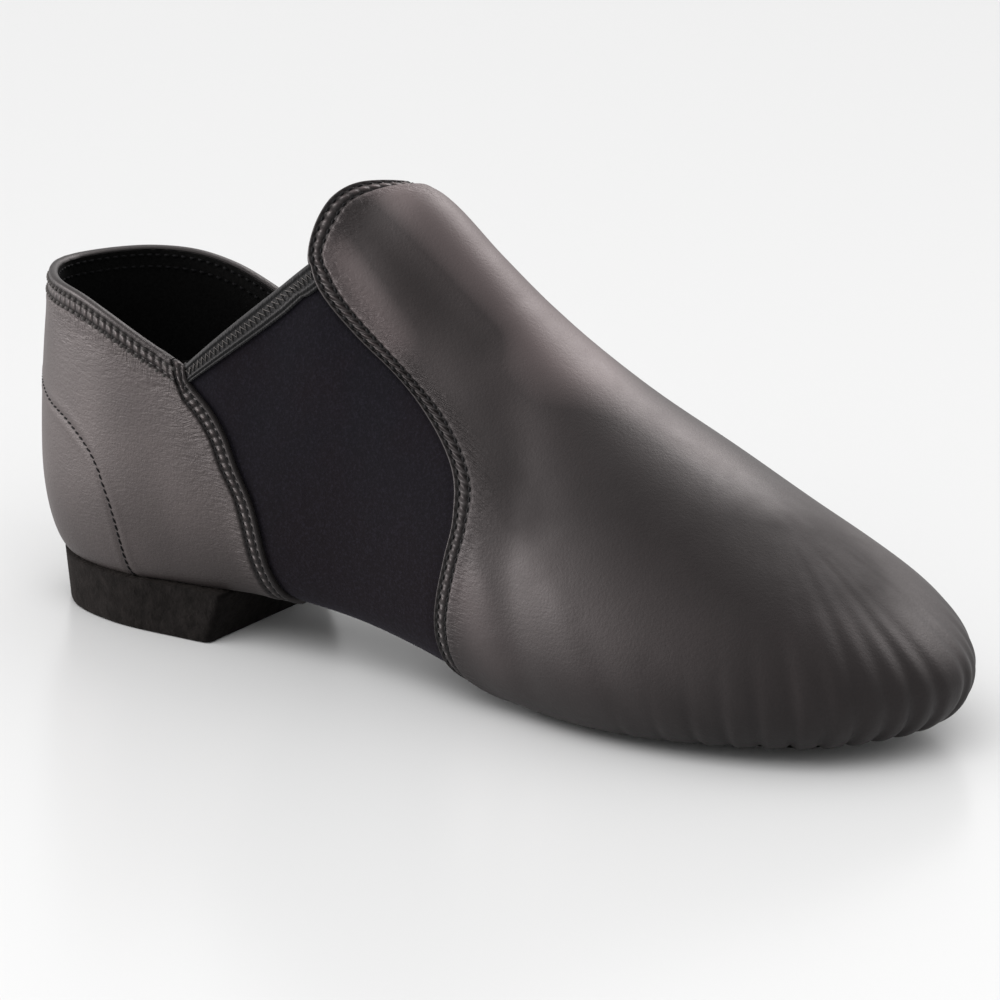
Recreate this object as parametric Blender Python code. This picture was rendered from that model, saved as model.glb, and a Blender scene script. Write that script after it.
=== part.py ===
"""Slip-on jazz shoe with stretch side gores and a split sole, one right shoe.

Metres, Z up.  The toe points along +X, the outer side of the foot is -Y, and the
shoe stands on the plane Z = 0 on its heel block and its forefoot patch.

Every curved piece is read off one surface, skin(), which runs through the plan
outline and the sections below.  A place on it has three coordinates:
    side    -1 on the outer side of the foot, +1 on the inner side
    station distance of the section's foot from the back of the heel, 0 to LENGTH
    up      0 at the feather line, WIDEST at the widest line, 1 at the top edge,
            2 on the crest of the instep (in front of the tongue edge only)
"""
import math

import bpy
import bmesh
import numpy as np

# Driving sizes
LENGTH = 0.250
BALL_WIDTH = 0.083
WAIST_WIDTH = 0.0565
HEEL_WIDTH = 0.0585
INSTEP_HEIGHT = 0.110
COLLAR_HEIGHT = 0.081
HEEL_LIFT = 0.013

# Walls, gaps and edges
LEATHER_WALL = 0.0022
GORE_DROP = 0.0009          # the gore's face lies this far under the leather's
GAP = 0.0003                # between pieces that lie along each other
LASTING_MARGIN = 0.012      # turned in under the foot
INSOLE_THICK = 0.0025
INSOLE_CLEAR = 0.0006
VAMP_BAND = 0.0055          # stitched band along the vamp and tongue edge
QUARTER_BAND = 0.0050       # stitched band along the quarter's front edge
BAND_SWELL = 0.0005
BAND_FROM = 0.1             # the raised bands flatten out under this height, in up
HEM_SWELL = 0.0006
BINDING_THICK = 0.0007
BINDING_END_GAP = 0.0011

# Gore, tongue, collar
NOTCH_AT = 0.0595           # where collar and gore edge meet, from the heel back
NOTCH_HEIGHT = 0.068
TONGUE_AT = 0.0893          # where the gore's top edge runs under the tongue edge
TONGUE_SHOULDER = 0.095
TONGUE_LEAN = 0.0090        # the tongue's crest lies this far ahead of its shoulders
TONGUE_BOW = 0.0022
SHOULDER_CLIMB = 0.45       # how far the top row nears the crest ahead of the tongue
SHOULDER_RUN = 0.050

# Sole parts
HEEL_BREAST_FOOT = 0.063
HEEL_BREAST_TOP = 0.068
HEEL_SIDE_INSET = 0.0045
HEEL_BACK_INSET = 0.0070
HEEL_FLARE = 0.0013
PATCH_START = 0.152
PATCH_BOW = 0.004
PATCH_INSET = 0.005
PATCH_THICK = 0.0014
FILLING_CLEAR = 0.0008
HEEL_FILLING_ROOT = 0.0030  # how deep each filling reaches down into its sole part
PATCH_FILLING_ROOT = 0.0008

# Where the section planes start to fan out round heel and toe
HEEL_FAN = 0.36 * LENGTH
TOE_FAN = 0.608 * LENGTH
WIDEST = 0.4
HEM_UP = 0.905

# Plan outline: share of LENGTH, named width, outer half and inner half of it
PLAN = (
    (0.048, HEEL_WIDTH, 0.333, 0.333),
    (0.128, HEEL_WIDTH, 0.479, 0.479),
    (0.224, HEEL_WIDTH, 0.504, 0.496),
    (0.324, WAIST_WIDTH, 0.513, 0.487),
    (0.424, WAIST_WIDTH, 0.522, 0.502),
    (0.524, BALL_WIDTH, 0.404, 0.380),
    (0.628, BALL_WIDTH, 0.470, 0.452),
    (0.720, BALL_WIDTH, 0.506, 0.494),
    (0.808, BALL_WIDTH, 0.488, 0.482),
    (0.884, BALL_WIDTH, 0.422, 0.428),
    (0.952, BALL_WIDTH, 0.295, 0.307),
)

# Sections.  at: share of LENGTH; feather: share of HEEL_LIFT; widest and crest:
# shares of INSTEP_HEIGHT; taper: + pointed, - boxy; tuck: share of BALL_WIDTH by
# which the feather line lies inside the outline
SECTION = (
    # at    feather widest crest  taper  tuck
    (0.000, 1.00, 0.336, 1.273, 0.00, 0.096),
    (0.120, 1.00, 0.345, 1.500, -0.30, 0.072),
    (0.240, 1.04, 0.364, 1.327, -0.20, 0.084),
    (0.320, 1.02, 0.336, 1.100, -0.05, 0.108),
    (0.380, 0.94, 0.309, 1.028, -0.10, 0.108),
    (0.440, 0.80, 0.273, 0.999, 0.08, 0.108),
    (0.500, 0.61, 0.245, 0.892, 0.15, 0.108),
    (0.560, 0.34, 0.218, 0.787, 0.14, 0.120),
    (0.640, 0.13, 0.191, 0.668, 0.11, 0.145),
    (0.720, 0.13, 0.173, 0.571, 0.08, 0.151),
    (0.808, 0.22, 0.164, 0.469, 0.05, 0.151),
    (0.904, 0.33, 0.155, 0.377, -0.08, 0.145),
    (1.000, 0.52, 0.155, 0.291, -0.15, 0.130),
)

# Collar of the quarter: share of NOTCH_AT, share of COLLAR_HEIGHT
COLLAR = (
    (0.00, 1.000),
    (0.25, 1.003),
    (0.44, 0.990),
    (0.58, 0.963),
    (0.82, 0.893),
    (1.00, NOTCH_HEIGHT / COLLAR_HEIGHT),
)

# Seams of the gore.  up, quarter's front edge and vamp's edge as shares of LENGTH
SEAM = (
    (0.00, 0.348, 0.564),
    (0.10, 0.336, 0.538),
    (0.22, 0.326, 0.528),
    (0.40, 0.313, 0.530),
    (0.50, 0.296, 0.538),
    (0.60, 0.284, 0.544),
    (0.70, 0.270, 0.531),
    (0.78, 0.258, 0.487),
    (0.86, 0.247, 0.415),
    (0.93, 0.240, 0.374),
    (1.00, NOTCH_AT / LENGTH, TONGUE_AT / LENGTH),
)

# Grid of the upper
QUARTER_STEPS = 8
GORE_STEPS = 7
VAMP_STEPS = 17
HEEL_OPEN_STEP = 6          # the quarter's column that ends the hole over the heel
PATCH_OPEN_STEP = 4         # the vamp's column that starts the hole over the patch
LOW_ROWS = 5
SIDE_ROWS = 6
TONGUE_ROWS = 7


def column(table, number):
    return np.array([row[number] for row in table], dtype=float)


def smooth(xs, ys, x):
    """Curve through the table's rows with slopes taken from its neighbours."""
    x = np.clip(np.asarray(x, dtype=float), xs[0], xs[-1])
    step = np.diff(xs)
    rise = np.diff(ys) / step
    slope = np.empty_like(ys)
    slope[1:-1] = (rise[:-1] * step[1:] + rise[1:] * step[:-1]) / (step[:-1] + step[1:])
    slope[0] = 1.5 * rise[0] - 0.5 * slope[1]
    slope[-1] = 1.5 * rise[-1] - 0.5 * slope[-2]
    i = np.clip(np.searchsorted(xs, x, side="right") - 1, 0, len(xs) - 2)
    t = (x - xs[i]) / step[i]
    return ((2 * t**3 - 3 * t**2 + 1) * ys[i] + (t**3 - 2 * t**2 + t) * step[i] * slope[i]
            + (3 * t**2 - 2 * t**3) * ys[i + 1] + (t**3 - t**2) * step[i] * slope[i + 1])


def section(number, x):
    return smooth(column(SECTION, 0) * LENGTH, column(SECTION, number), x)


def feather_height(x):
    return HEEL_LIFT * section(1, x)


def plan_ring():
    """Closed plan outline: heel back, outer side, toe tip, inner side."""
    outer = [(row[0] * LENGTH, -row[1] * row[2]) for row in PLAN]
    inner = [(row[0] * LENGTH, row[1] * row[3]) for row in PLAN]
    ring = [(0.0, 0.0)] + outer + [(LENGTH, 0.0)] + inner[::-1]
    ring = np.array(ring[-3:] + ring + ring[:4])
    walk = np.concatenate([[0.0], np.cumsum(np.sqrt(np.hypot(*np.diff(ring, axis=0).T)))])
    heel, toe = walk[3], walk[4 + len(PLAN)]
    return ring, walk, heel, toe, walk[3 + 2 * len(PLAN) + 2]


RING, WALK, WALK_HEEL, WALK_TOE, WALK_END = plan_ring()


def plan_point(side, share):
    """Outline point at a share of the way from heel back to toe tip on one side."""
    along = np.where(np.asarray(side) < 0, WALK_HEEL + share * (WALK_TOE - WALK_HEEL),
                     WALK_END - share * (WALK_END - WALK_TOE))
    return smooth(WALK, RING[:, 0], along), smooth(WALK, RING[:, 1], along)


def plan_share(side, station):
    """The share at which the outline reaches a station, by halving."""
    low, high = np.zeros(np.shape(station)), np.ones(np.shape(station))
    for _ in range(40):
        middle = (low + high) / 2
        short = plan_point(side, middle)[0] < station
        low, high = np.where(short, middle, low), np.where(short, high, middle)
    return (low + high) / 2


def spine(station, heel_fan=HEEL_FAN):
    """Foot of a section plane on the centre line; the planes fan at both ends."""
    foot = np.where(station < heel_fan, heel_fan / 2 + station**2 / (2 * heel_fan), station)
    past = station - TOE_FAN
    return np.where(past > 0, TOE_FAN + past - past**2 / (2 * (LENGTH - TOE_FAN)), foot)


def ray(side, station, heel_fan=HEEL_FAN):
    """Centre x, unit direction and length of the plane's line to the outline."""
    x, y = plan_point(side, plan_share(side, station))
    foot = spine(station, heel_fan)
    length = np.hypot(x - foot, y)
    return foot, (x - foot) / length, y / length, length, x


def top_angle(side, station):
    """Angle from the crest at which the wall is cut by the collar or gore edge."""
    notch = np.array([NOTCH_AT, TONGUE_AT])
    height = np.where(
        station < NOTCH_AT,
        COLLAR_HEIGHT * smooth(column(COLLAR, 0) * NOTCH_AT, column(COLLAR, 1), station),
        np.interp(station, notch, [NOTCH_HEIGHT, TONGUE_SHOULDER]))
    place = ray(side, np.minimum(station, TONGUE_AT))
    low, high = np.zeros(np.shape(station)), np.full(np.shape(station), math.pi / 2)
    for _ in range(30):
        middle = (low + high) / 2
        above = wall_point(place, middle)[..., 2] > height
        low, high = np.where(above, middle, low), np.where(above, high, middle)
    climb = np.clip((station - TONGUE_AT) / SHOULDER_RUN, 0, 1)
    return (low + high) / 2 * (1 - SHOULDER_CLIMB * climb**2 * (3 - 2 * climb))


def wall_point(place, angle):
    """Point at an angle from the crest: pi/2 is the widest line, pi the feather."""
    foot, ux, uy, length, x_out = place
    upper = np.minimum(angle, math.pi / 2)
    lower = np.maximum(angle - math.pi / 2, 0.0)
    tuck = BALL_WIDTH * section(5, x_out)
    out = np.where(angle <= math.pi / 2, length * np.sin(upper),
                   length - tuck * (1 - np.cos(lower)))
    x = foot + ux * out
    feather, widest = feather_height(x), INSTEP_HEIGHT * section(2, x)
    crest, taper = INSTEP_HEIGHT * section(3, x), section(4, x)
    z = np.where(angle <= math.pi / 2,
                 widest + (crest - widest) * np.cos(upper) * (1 - taper * np.sin(upper)**2),
                 widest - (widest - feather) * np.sin(lower))
    return np.stack([x, uy * out, z], axis=-1)


def skin(side, station, up):
    """The shoe's outer face."""
    station, up = np.broadcast_arrays(np.asarray(station, float), np.asarray(up, float))
    top = top_angle(side, station)
    angle = np.where(up < WIDEST, math.pi - (math.pi / 2) * up / WIDEST,
                     math.pi / 2 + (up - WIDEST) / (1 - WIDEST) * (top - math.pi / 2))
    return wall_point(ray(side, station), np.where(up > 1, top * (2 - up), angle))


def underside(side, station, inward, lift):
    """Point under the foot, measured inward from the feather line."""
    foot, ux, uy, length, x_out = ray(side, station)
    out = np.maximum(length - BALL_WIDTH * section(5, x_out) - inward, 0.0)
    x = foot + ux * out
    return np.stack([x, uy * out, feather_height(x) + lift], axis=-1)


def outward(side, station, up):
    """Unit normal of the skin away from the ends of the shoe."""
    step = 2e-4
    along = skin(side, station + step, up) - skin(side, station - step, up)
    across = skin(side, station, up + 0.002) - skin(side, station, up - 0.002)
    normal = np.cross(along, across) * -side
    return normal / np.linalg.norm(normal, axis=-1, keepdims=True)


def seam(number, up):
    """Station of a seam at a height: 1 quarter's front edge, 2 vamp's edge."""
    return LENGTH * smooth(column(SEAM, 0), column(SEAM, number), np.clip(up, 0, 1))


def quarter_edge(up):
    return seam(1, up)


def vamp_edge(up):
    """The vamp's seam and, past the shoulder, the bowed edge of the tongue."""
    rise = np.clip(up - 1, 0, 1)
    return seam(2, up) + TONGUE_LEAN * rise**1.8 - TONGUE_BOW * np.sin(math.pi * rise**0.6)


def band_run(edge, up, width):
    """Station distance that covers a band's width at right angles to its edge."""
    step = 0.004
    low, high = np.clip(up - step, 0, 2), np.clip(up + step, 0, 2)
    travel = skin(-1, edge(high), high) - skin(-1, edge(low), low)
    travel /= np.linalg.norm(travel, axis=-1, keepdims=True)
    return width / np.sqrt(np.maximum(1 - travel[..., 0]**2, 0.2))


def new_part(name, points, faces, material):
    """Mesh object from points and faces, welded, with its normals outwards."""
    mesh = bpy.data.meshes.new(name)
    work = bmesh.new()
    corners = [work.verts.new(p) for p in points]
    for face in faces:
        work.faces.new([corners[i] for i in face])
    bmesh.ops.remove_doubles(work, verts=work.verts, dist=2e-6)
    rim = [e for e in work.edges if len(e.link_faces) == 1]
    if rim:
        bmesh.ops.holes_fill(work, edges=rim, sides=0)
    bmesh.ops.triangulate(work, faces=work.faces)
    bmesh.ops.recalc_face_normals(work, faces=work.faces)
    loose = [v for v in work.verts if not v.link_faces]
    bmesh.ops.delete(work, geom=loose, context="VERTS")
    work.to_mesh(mesh)
    work.free()
    part = bpy.data.objects.new(name, mesh)
    mesh.materials.append(material)
    SHOE.objects.link(part)
    return part


def grid_faces(index, rows, columns):
    """Quads of a grid whose index(row, column) gives a point's number."""
    return [(index(r, c), index(r, c + 1), index(r + 1, c + 1), index(r + 1, c))
            for r in range(rows - 1) for c in range(columns - 1)]


def upper_rows():
    """Row list of the upper: (kind, value), from the centre line under the foot up."""
    rows = [("under", None), ("under", 0.5), ("under", LASTING_MARGIN),
            ("under", LASTING_MARGIN / 2)]
    rows += [("wall", WIDEST * i / LOW_ROWS) for i in range(LOW_ROWS)]
    rows += [("wall", WIDEST + (HEM_UP - WIDEST) * i / SIDE_ROWS) for i in range(SIDE_ROWS)]
    rows += [("wall", HEM_UP), ("wall", (1 + HEM_UP) / 2), ("wall", 1.0)]
    rows += [("wall", 1 + i / TONGUE_ROWS) for i in range(1, TONGUE_ROWS + 1)]
    return rows


def upper_columns(up):
    """Stations of every column at one height, heel back to toe tip."""
    front = quarter_edge(up)
    band = band_run(quarter_edge, np.minimum(up, 1.0), QUARTER_BAND)
    turn = np.arange(QUARTER_STEPS + 1) / QUARTER_STEPS * math.pi / 2
    quarter = list((front - band) * (1 - np.cos(turn))) + [front - band / 2, front]
    edge = vamp_edge(up)
    gore = [front + (edge - front) * i / GORE_STEPS for i in range(1, GORE_STEPS)]
    run = band_run(vamp_edge, up, VAMP_BAND)
    turn = np.arange(VAMP_STEPS + 1) / VAMP_STEPS * math.pi / 2
    vamp = [edge, edge + run / 2] + list(edge + run + (LENGTH - edge - run) * np.sin(turn))
    return np.array(quarter + gore + vamp)


def upper_mesh():
    """Closed shell of the upper: outer face, inner face, rims and seam steps."""
    rows = upper_rows()
    open_rows = len(rows) - TONGUE_ROWS
    quarter_seam = QUARTER_STEPS + 2
    vamp_seam = quarter_seam + GORE_STEPS
    heel_end = HEEL_OPEN_STEP
    patch_start = vamp_seam + PATCH_OPEN_STEP
    last = vamp_seam + 2 + VAMP_STEPS

    points, number = [], {}

    def base(side, c, r):
        """Shared number of a grid point, or None where the upper is open."""
        if r < 2 and not heel_end <= c <= patch_start:
            return None
        if r >= open_rows and c < vamp_seam:
            return None
        if c in (0, last) or r in (0, len(rows) - 1):
            side = -1
        return number[(side, c, r)]

    for side in (-1, 1):
        for r, (kind, value) in enumerate(rows):
            stations = upper_columns(0.0 if kind == "under" else value)
            if kind == "wall":
                spots = skin(side, stations, value)
            elif value is None:
                spots = underside(side, stations, LENGTH, 0.0)
            elif value == 0.5:
                spots = (underside(side, stations, LENGTH, 0.0)
                         + underside(side, stations, LASTING_MARGIN, 0.0)) / 2
                spots[:, 2] = feather_height(spots[:, 0])
            else:
                spots = underside(side, stations, value, 0.0)
            for c, spot in enumerate(spots):
                number[(side, c, r)] = len(points)
                points.append(spot)
    points = np.array(points)

    patches = {"leather": [], "gore": []}
    for side in (-1, 1):
        for c in range(last):
            patch = "gore" if quarter_seam <= c < vamp_seam else "leather"
            for r in range(len(rows) - 1):
                quad = [base(side, c, r), base(side, c + 1, r),
                        base(side, c + 1, r + 1), base(side, c, r + 1)]
                if None in quad:
                    continue
                quad = [n for i, n in enumerate(quad) if n != quad[i - 1]]
                patches[patch].append(tuple(quad if side < 0 else quad[::-1]))

    # Corner normals of the whole skin, weighted by face size
    normals = np.zeros_like(points)
    for quad in patches["leather"] + patches["gore"]:
        ring = points[list(quad)]
        area = sum(np.cross(ring[i] - ring[0], ring[i + 1] - ring[0])
                   for i in range(1, len(quad) - 1))
        normals[list(quad)] += area
    scale = np.linalg.norm(normals, axis=1, keepdims=True)
    normals = normals / np.where(scale > 0, scale, 1)

    # Raised hem and bands
    swell = np.zeros(len(points))
    hem = {open_rows - 2: 1.0, open_rows - 1: 0.3}
    for (side, c, r), n in number.items():
        kind, value = rows[r]
        if kind == "wall" and value > BAND_FROM and c in (quarter_seam - 1, vamp_seam + 1):
            swell[n] = BAND_SWELL
        if c < quarter_seam and r in hem:
            swell[n] = max(swell[n], HEM_SWELL * hem[r])

    outer_leather = points + normals * swell[:, None]
    outer_gore = points - normals * GORE_DROP
    inner = points - normals * LEATHER_WALL
    count = len(points)
    shift = {"leather": 0, "gore": count}
    sheets = np.concatenate([outer_leather, outer_gore, inner])

    faces, owner = [], {}
    for patch, quads in patches.items():
        for quad in quads:
            faces.append(tuple(n + shift[patch] for n in quad))
            faces.append(tuple(n + 2 * count for n in quad[::-1]))
            for i in range(len(quad)):
                owner.setdefault((quad[i - 1], quad[i]), []).append(patch)
    gore_corners = {n for quad in patches["gore"] for n in quad}
    for (a, b), (patch, *_) in owner.items():
        other = owner.get((b, a))
        if other is None:
            # Rim; a leather rim that ends on the gore takes in the gore's corner
            strip = [a + shift[patch], a + 2 * count, b + 2 * count, b + shift[patch]]
            if patch == "leather" and b in gore_corners:
                strip.insert(3, b + count)
            if patch == "leather" and a in gore_corners:
                strip.insert(1, a + count)
            faces.append(tuple(strip))
        elif patch == "leather" and other[0] == "gore":
            faces.append((a, a + count, b + count, b))
    return sheets, faces


def pad_mesh(rows):
    """Closed pad from rows of points per side, centre line to centre line."""
    points, faces = [], []
    for side in (-1, 1):
        start = len(points)
        lines = rows(side)
        wide = len(lines[0])
        for line in lines:
            points.extend(line)
        quads = grid_faces(lambda r, c: start + r * wide + c, len(lines), wide)
        faces += quads if side < 0 else [q[::-1] for q in quads]
    return points, faces


def fan_stations(start, end, steps, at_heel):
    """Stations drawn together at the rounded end."""
    turn = np.arange(steps + 1) / steps * math.pi / 2
    if at_heel:
        return start + (end - start) * (1 - np.cos(turn))
    return start + (end - start) * np.sin(turn)


def insole_rows(side):
    lift = LEATHER_WALL + GAP
    half = np.concatenate([fan_stations(0, LENGTH / 2, 9, True),
                           fan_stations(LENGTH / 2, LENGTH, 13, False)[1:]])
    edge = underside(side, half, INSOLE_CLEAR, lift)
    centre = underside(side, half, 1.0, lift)
    rim = underside(side, half, INSOLE_CLEAR, lift + INSOLE_THICK)
    crown = underside(side, half, 1.0, lift + INSOLE_THICK)
    middle = (edge + centre) / 2
    middle[:, 2] = feather_height(middle[:, 0]) + lift
    inner = (rim + crown) / 2
    inner[:, 2] = feather_height(inner[:, 0]) + lift + INSOLE_THICK
    return [centre, middle, edge, rim, inner, crown]


def patch_floor(x):
    """Underside of the forefoot patch: flat under the ball, rising to the toe."""
    return np.maximum(feather_height(x) - GAP - PATCH_THICK, 0.0)


def patch_rows(side):
    shares = np.linspace(0, 1, 19)**1.5
    lines = []
    for across in (0.0, 0.5, 1.0):
        bowed = PATCH_START - PATCH_BOW * (1 - across**2)
        stations = bowed + (LENGTH - bowed) * np.sin(shares * math.pi / 2)
        edge = underside(side, stations, PATCH_INSET, -GAP)
        centre = underside(side, stations, LENGTH, -GAP)
        line = centre + (edge - centre) * across
        line[:, 2] = feather_height(line[:, 0]) - GAP
        lines.append(line)
    floor = [line.copy() for line in lines]
    for line in floor:
        line[:, 2] = patch_floor(line[:, 0])
    return floor + lines[::-1]


def plug_rows(start, end, at_heel, depth):
    """Rows of the filling that rises through a hole in the upper's underside."""
    def rows(side):
        stations = fan_stations(start, end, 9, at_heel)
        lines = []
        for lift in (-depth, LEATHER_WALL):
            edge = underside(side, stations, LASTING_MARGIN + FILLING_CLEAR, lift)
            centre = underside(side, stations, LENGTH, lift)
            middle = (edge + centre) / 2
            middle[:, 2] = feather_height(middle[:, 0]) + lift
            lines += [centre, middle, edge] if lift < 0 else [edge, middle, centre]
        return lines
    return rows


def heel_rows(side):
    shares = 1 - np.cos(np.linspace(0, math.pi / 2, 11))
    lines = []
    for across, level in ((0, 0), (1, 0), (1, 1), (0, 1)):
        breast = HEEL_BREAST_TOP if level else HEEL_BREAST_FOOT
        foot, ux, uy, length, _ = ray(side, breast * shares, breast)
        inset = HEEL_SIDE_INSET + (HEEL_BACK_INSET - HEEL_SIDE_INSET) * np.clip(-ux, 0, 1)**2
        out = (length - inset + HEEL_FLARE * level) * across
        x = foot + ux * out
        z = (feather_height(x) - GAP) * level
        lines.append(np.stack([x, uy * out, z], axis=-1))
    return lines


def binding_mesh(side):
    """Folded strip over the gore's top edge, between the two seams."""
    outer_skin = -GORE_DROP + GAP
    inner_skin = -LEATHER_WALL - GAP
    steps = 10
    lanes = []
    for up in (HEM_UP, (1 + HEM_UP) / 2, 1.0):
        start, end = quarter_edge(up) + BINDING_END_GAP, vamp_edge(up) - BINDING_END_GAP
        stations = np.linspace(start, end, steps + 1)
        lanes.append((skin(side, stations, up), outward(side, stations, up)))
    rise = lanes[2][0] - lanes[1][0]
    rise /= np.linalg.norm(rise, axis=1, keepdims=True)

    def leg(offset, past_edge):
        low, middle, top = [spot + normal * offset for spot, normal in lanes]
        return [low, middle, top + rise * past_edge]

    profile = (leg(outer_skin + BINDING_THICK, GAP + BINDING_THICK)
               + leg(inner_skin - BINDING_THICK, GAP + BINDING_THICK)[::-1]
               + leg(inner_skin, GAP) + leg(outer_skin, GAP)[::-1])
    points = [spot for line in profile for spot in line]
    wide, turns = steps + 1, len(profile)
    faces = [(r * wide + c, r * wide + c + 1,
              (r + 1) % turns * wide + c + 1, (r + 1) % turns * wide + c)
             for r in range(turns) for c in range(steps)]
    return points, faces


def join_solids(keep, add):
    """Merge one solid into another with an exact boolean."""
    tool = keep.modifiers.new("join", "BOOLEAN")
    tool.operation = "UNION"
    tool.solver = "EXACT"
    tool.object = add
    ready = bpy.context.evaluated_depsgraph_get()
    merged = bpy.data.meshes.new_from_object(keep.evaluated_get(ready))
    keep.modifiers.remove(tool)
    keep.data = merged
    bpy.data.objects.remove(add, do_unlink=True)


def paint(name, color, roughness):
    material = bpy.data.materials.new(name)
    material.use_nodes = True
    shader = material.node_tree.nodes["Principled BSDF"]
    shader.inputs["Base Color"].default_value = (*color, 1)
    shader.inputs["Roughness"].default_value = roughness
    shader.inputs["Metallic"].default_value = 0.0
    material.diffuse_color = (*color, 1)
    return material


for old in list(bpy.data.objects):
    bpy.data.objects.remove(old, do_unlink=True)
SHOE = bpy.data.collections.new("jazz_shoe")
bpy.context.scene.collection.children.link(SHOE)

leather = paint("black_leather", (0.026, 0.024, 0.024), 0.42)
stretch = paint("elastic_binding_cloth", (0.015, 0.015, 0.018), 0.75)
suede = paint("sole_suede", (0.022, 0.019, 0.017), 0.9)
lining = paint("insole_cloth", (0.012, 0.012, 0.012), 0.85)

new_part("upper", *upper_mesh(), leather)
new_part("insole", *pad_mesh(insole_rows), lining)

hole_ends = upper_columns(0.0)
heel_hole = hole_ends[HEEL_OPEN_STEP] - 2 * GAP
patch_hole = hole_ends[QUARTER_STEPS + 2 + GORE_STEPS + PATCH_OPEN_STEP] + 2 * GAP

patch = new_part("forefoot_sole", *pad_mesh(patch_rows), suede)
join_solids(patch, new_part("patch_filling",
                            *pad_mesh(plug_rows(patch_hole, LENGTH, False,
                                                PATCH_FILLING_ROOT)), suede))
heel = new_part("heel", *pad_mesh(heel_rows), suede)
join_solids(heel, new_part("heel_filling",
                           *pad_mesh(plug_rows(0.0, heel_hole, True,
                                               HEEL_FILLING_ROOT)), suede))

new_part("gore_binding_outer", *binding_mesh(-1), stretch)
new_part("gore_binding_inner", *binding_mesh(1), stretch)

# Stand the shoe with the middle of its box over the origin
corners = np.array([corner for part in SHOE.objects for corner in
                    [tuple(v.co) for v in part.data.vertices]])
middle = (corners.min(axis=0) + corners.max(axis=0)) / 2
for part in SHOE.objects:
    for vertex in part.data.vertices:
        vertex.co.x -= middle[0]
        vertex.co.y -= middle[1]
        vertex.co.z -= corners[:, 2].min()
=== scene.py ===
"""Looks of the slip-on jazz shoe: leather, stretch gores, elastic strips, stitching, sole.

The visible pieces are read off the same surface as the solids.  A place on it is
side (-1 outer, +1 inner), station (metres from the back of the heel) and up
(0 feather line, WIDEST widest line, 1 top edge, 2 crest in front of the tongue edge).
"""
import math
from functools import partial

import bpy
import numpy as np
from mathutils import Matrix, Vector


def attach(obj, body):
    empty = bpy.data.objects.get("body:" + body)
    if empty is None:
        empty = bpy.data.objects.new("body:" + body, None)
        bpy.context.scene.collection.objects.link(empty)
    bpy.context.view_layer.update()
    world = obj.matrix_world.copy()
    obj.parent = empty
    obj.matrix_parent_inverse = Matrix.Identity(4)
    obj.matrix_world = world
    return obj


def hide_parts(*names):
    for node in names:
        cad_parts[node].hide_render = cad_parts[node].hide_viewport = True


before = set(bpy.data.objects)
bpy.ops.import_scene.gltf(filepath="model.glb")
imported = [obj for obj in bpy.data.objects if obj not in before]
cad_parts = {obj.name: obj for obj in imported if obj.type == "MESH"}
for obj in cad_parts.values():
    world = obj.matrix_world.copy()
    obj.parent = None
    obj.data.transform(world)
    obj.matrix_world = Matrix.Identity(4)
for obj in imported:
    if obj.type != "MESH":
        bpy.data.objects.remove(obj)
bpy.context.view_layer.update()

MM = 0.001

LENGTH = 0.250
BALL_WIDTH = 0.083
WAIST_WIDTH = 0.0565
HEEL_WIDTH = 0.0585
INSTEP_HEIGHT = 0.110
COLLAR_HEIGHT = 0.081
HEEL_LIFT = 0.013
LEATHER_WALL = 0.0022
GORE_DROP = 0.0009
GAP = 0.0003
NOTCH_AT = 0.0595
NOTCH_HEIGHT = 0.068
TONGUE_AT = 0.0893
TONGUE_SHOULDER = 0.095
TONGUE_LEAN = 0.0090        # the tongue's crest lies this far ahead of its shoulders
TONGUE_BOW = 0.0022
OUTER_LEAN = 1.8            # power of the lean on the outer half
INNER_LEAN = 0.5
INNER_SWEEP = 0.0035        # and its inner half sweeps further ahead beside the crest
SHOULDER_CLIMB = 0.45
SHOULDER_RUN = 0.050
HEEL_BREAST_FOOT = 0.063
HEEL_BREAST_TOP = 0.068
HEEL_SIDE_INSET = 0.0045
HEEL_BACK_INSET = 0.0070
HEEL_FLARE = 0.0013
HEEL_FAN = 0.36 * LENGTH
TOE_FAN = 0.608 * LENGTH
WIDEST = 0.4
HEM_UP = 0.905

PLAN = (
    (0.048, HEEL_WIDTH, 0.333, 0.333),
    (0.128, HEEL_WIDTH, 0.479, 0.479),
    (0.224, HEEL_WIDTH, 0.504, 0.496),
    (0.324, WAIST_WIDTH, 0.513, 0.487),
    (0.424, WAIST_WIDTH, 0.522, 0.502),
    (0.524, BALL_WIDTH, 0.404, 0.380),
    (0.628, BALL_WIDTH, 0.470, 0.452),
    (0.720, BALL_WIDTH, 0.506, 0.494),
    (0.808, BALL_WIDTH, 0.488, 0.482),
    (0.884, BALL_WIDTH, 0.422, 0.428),
    (0.952, BALL_WIDTH, 0.295, 0.307),
)
SECTION = (
    # at    feather widest crest  taper  tuck
    (0.000, 1.00, 0.336, 1.273, 0.00, 0.096),
    (0.120, 1.00, 0.345, 1.500, -0.30, 0.072),
    (0.240, 1.04, 0.364, 1.327, -0.20, 0.084),
    (0.320, 1.02, 0.336, 1.100, -0.05, 0.108),
    (0.380, 0.94, 0.309, 1.028, -0.10, 0.108),
    (0.440, 0.80, 0.273, 0.999, 0.08, 0.108),
    (0.500, 0.61, 0.245, 0.892, 0.15, 0.108),
    (0.560, 0.34, 0.218, 0.787, 0.14, 0.120),
    (0.640, 0.13, 0.191, 0.668, 0.11, 0.145),
    (0.720, 0.13, 0.173, 0.571, 0.08, 0.151),
    (0.808, 0.22, 0.164, 0.469, 0.05, 0.151),
    (0.904, 0.33, 0.155, 0.377, -0.08, 0.145),
    (1.000, 0.52, 0.155, 0.291, -0.15, 0.130),
)
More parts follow.
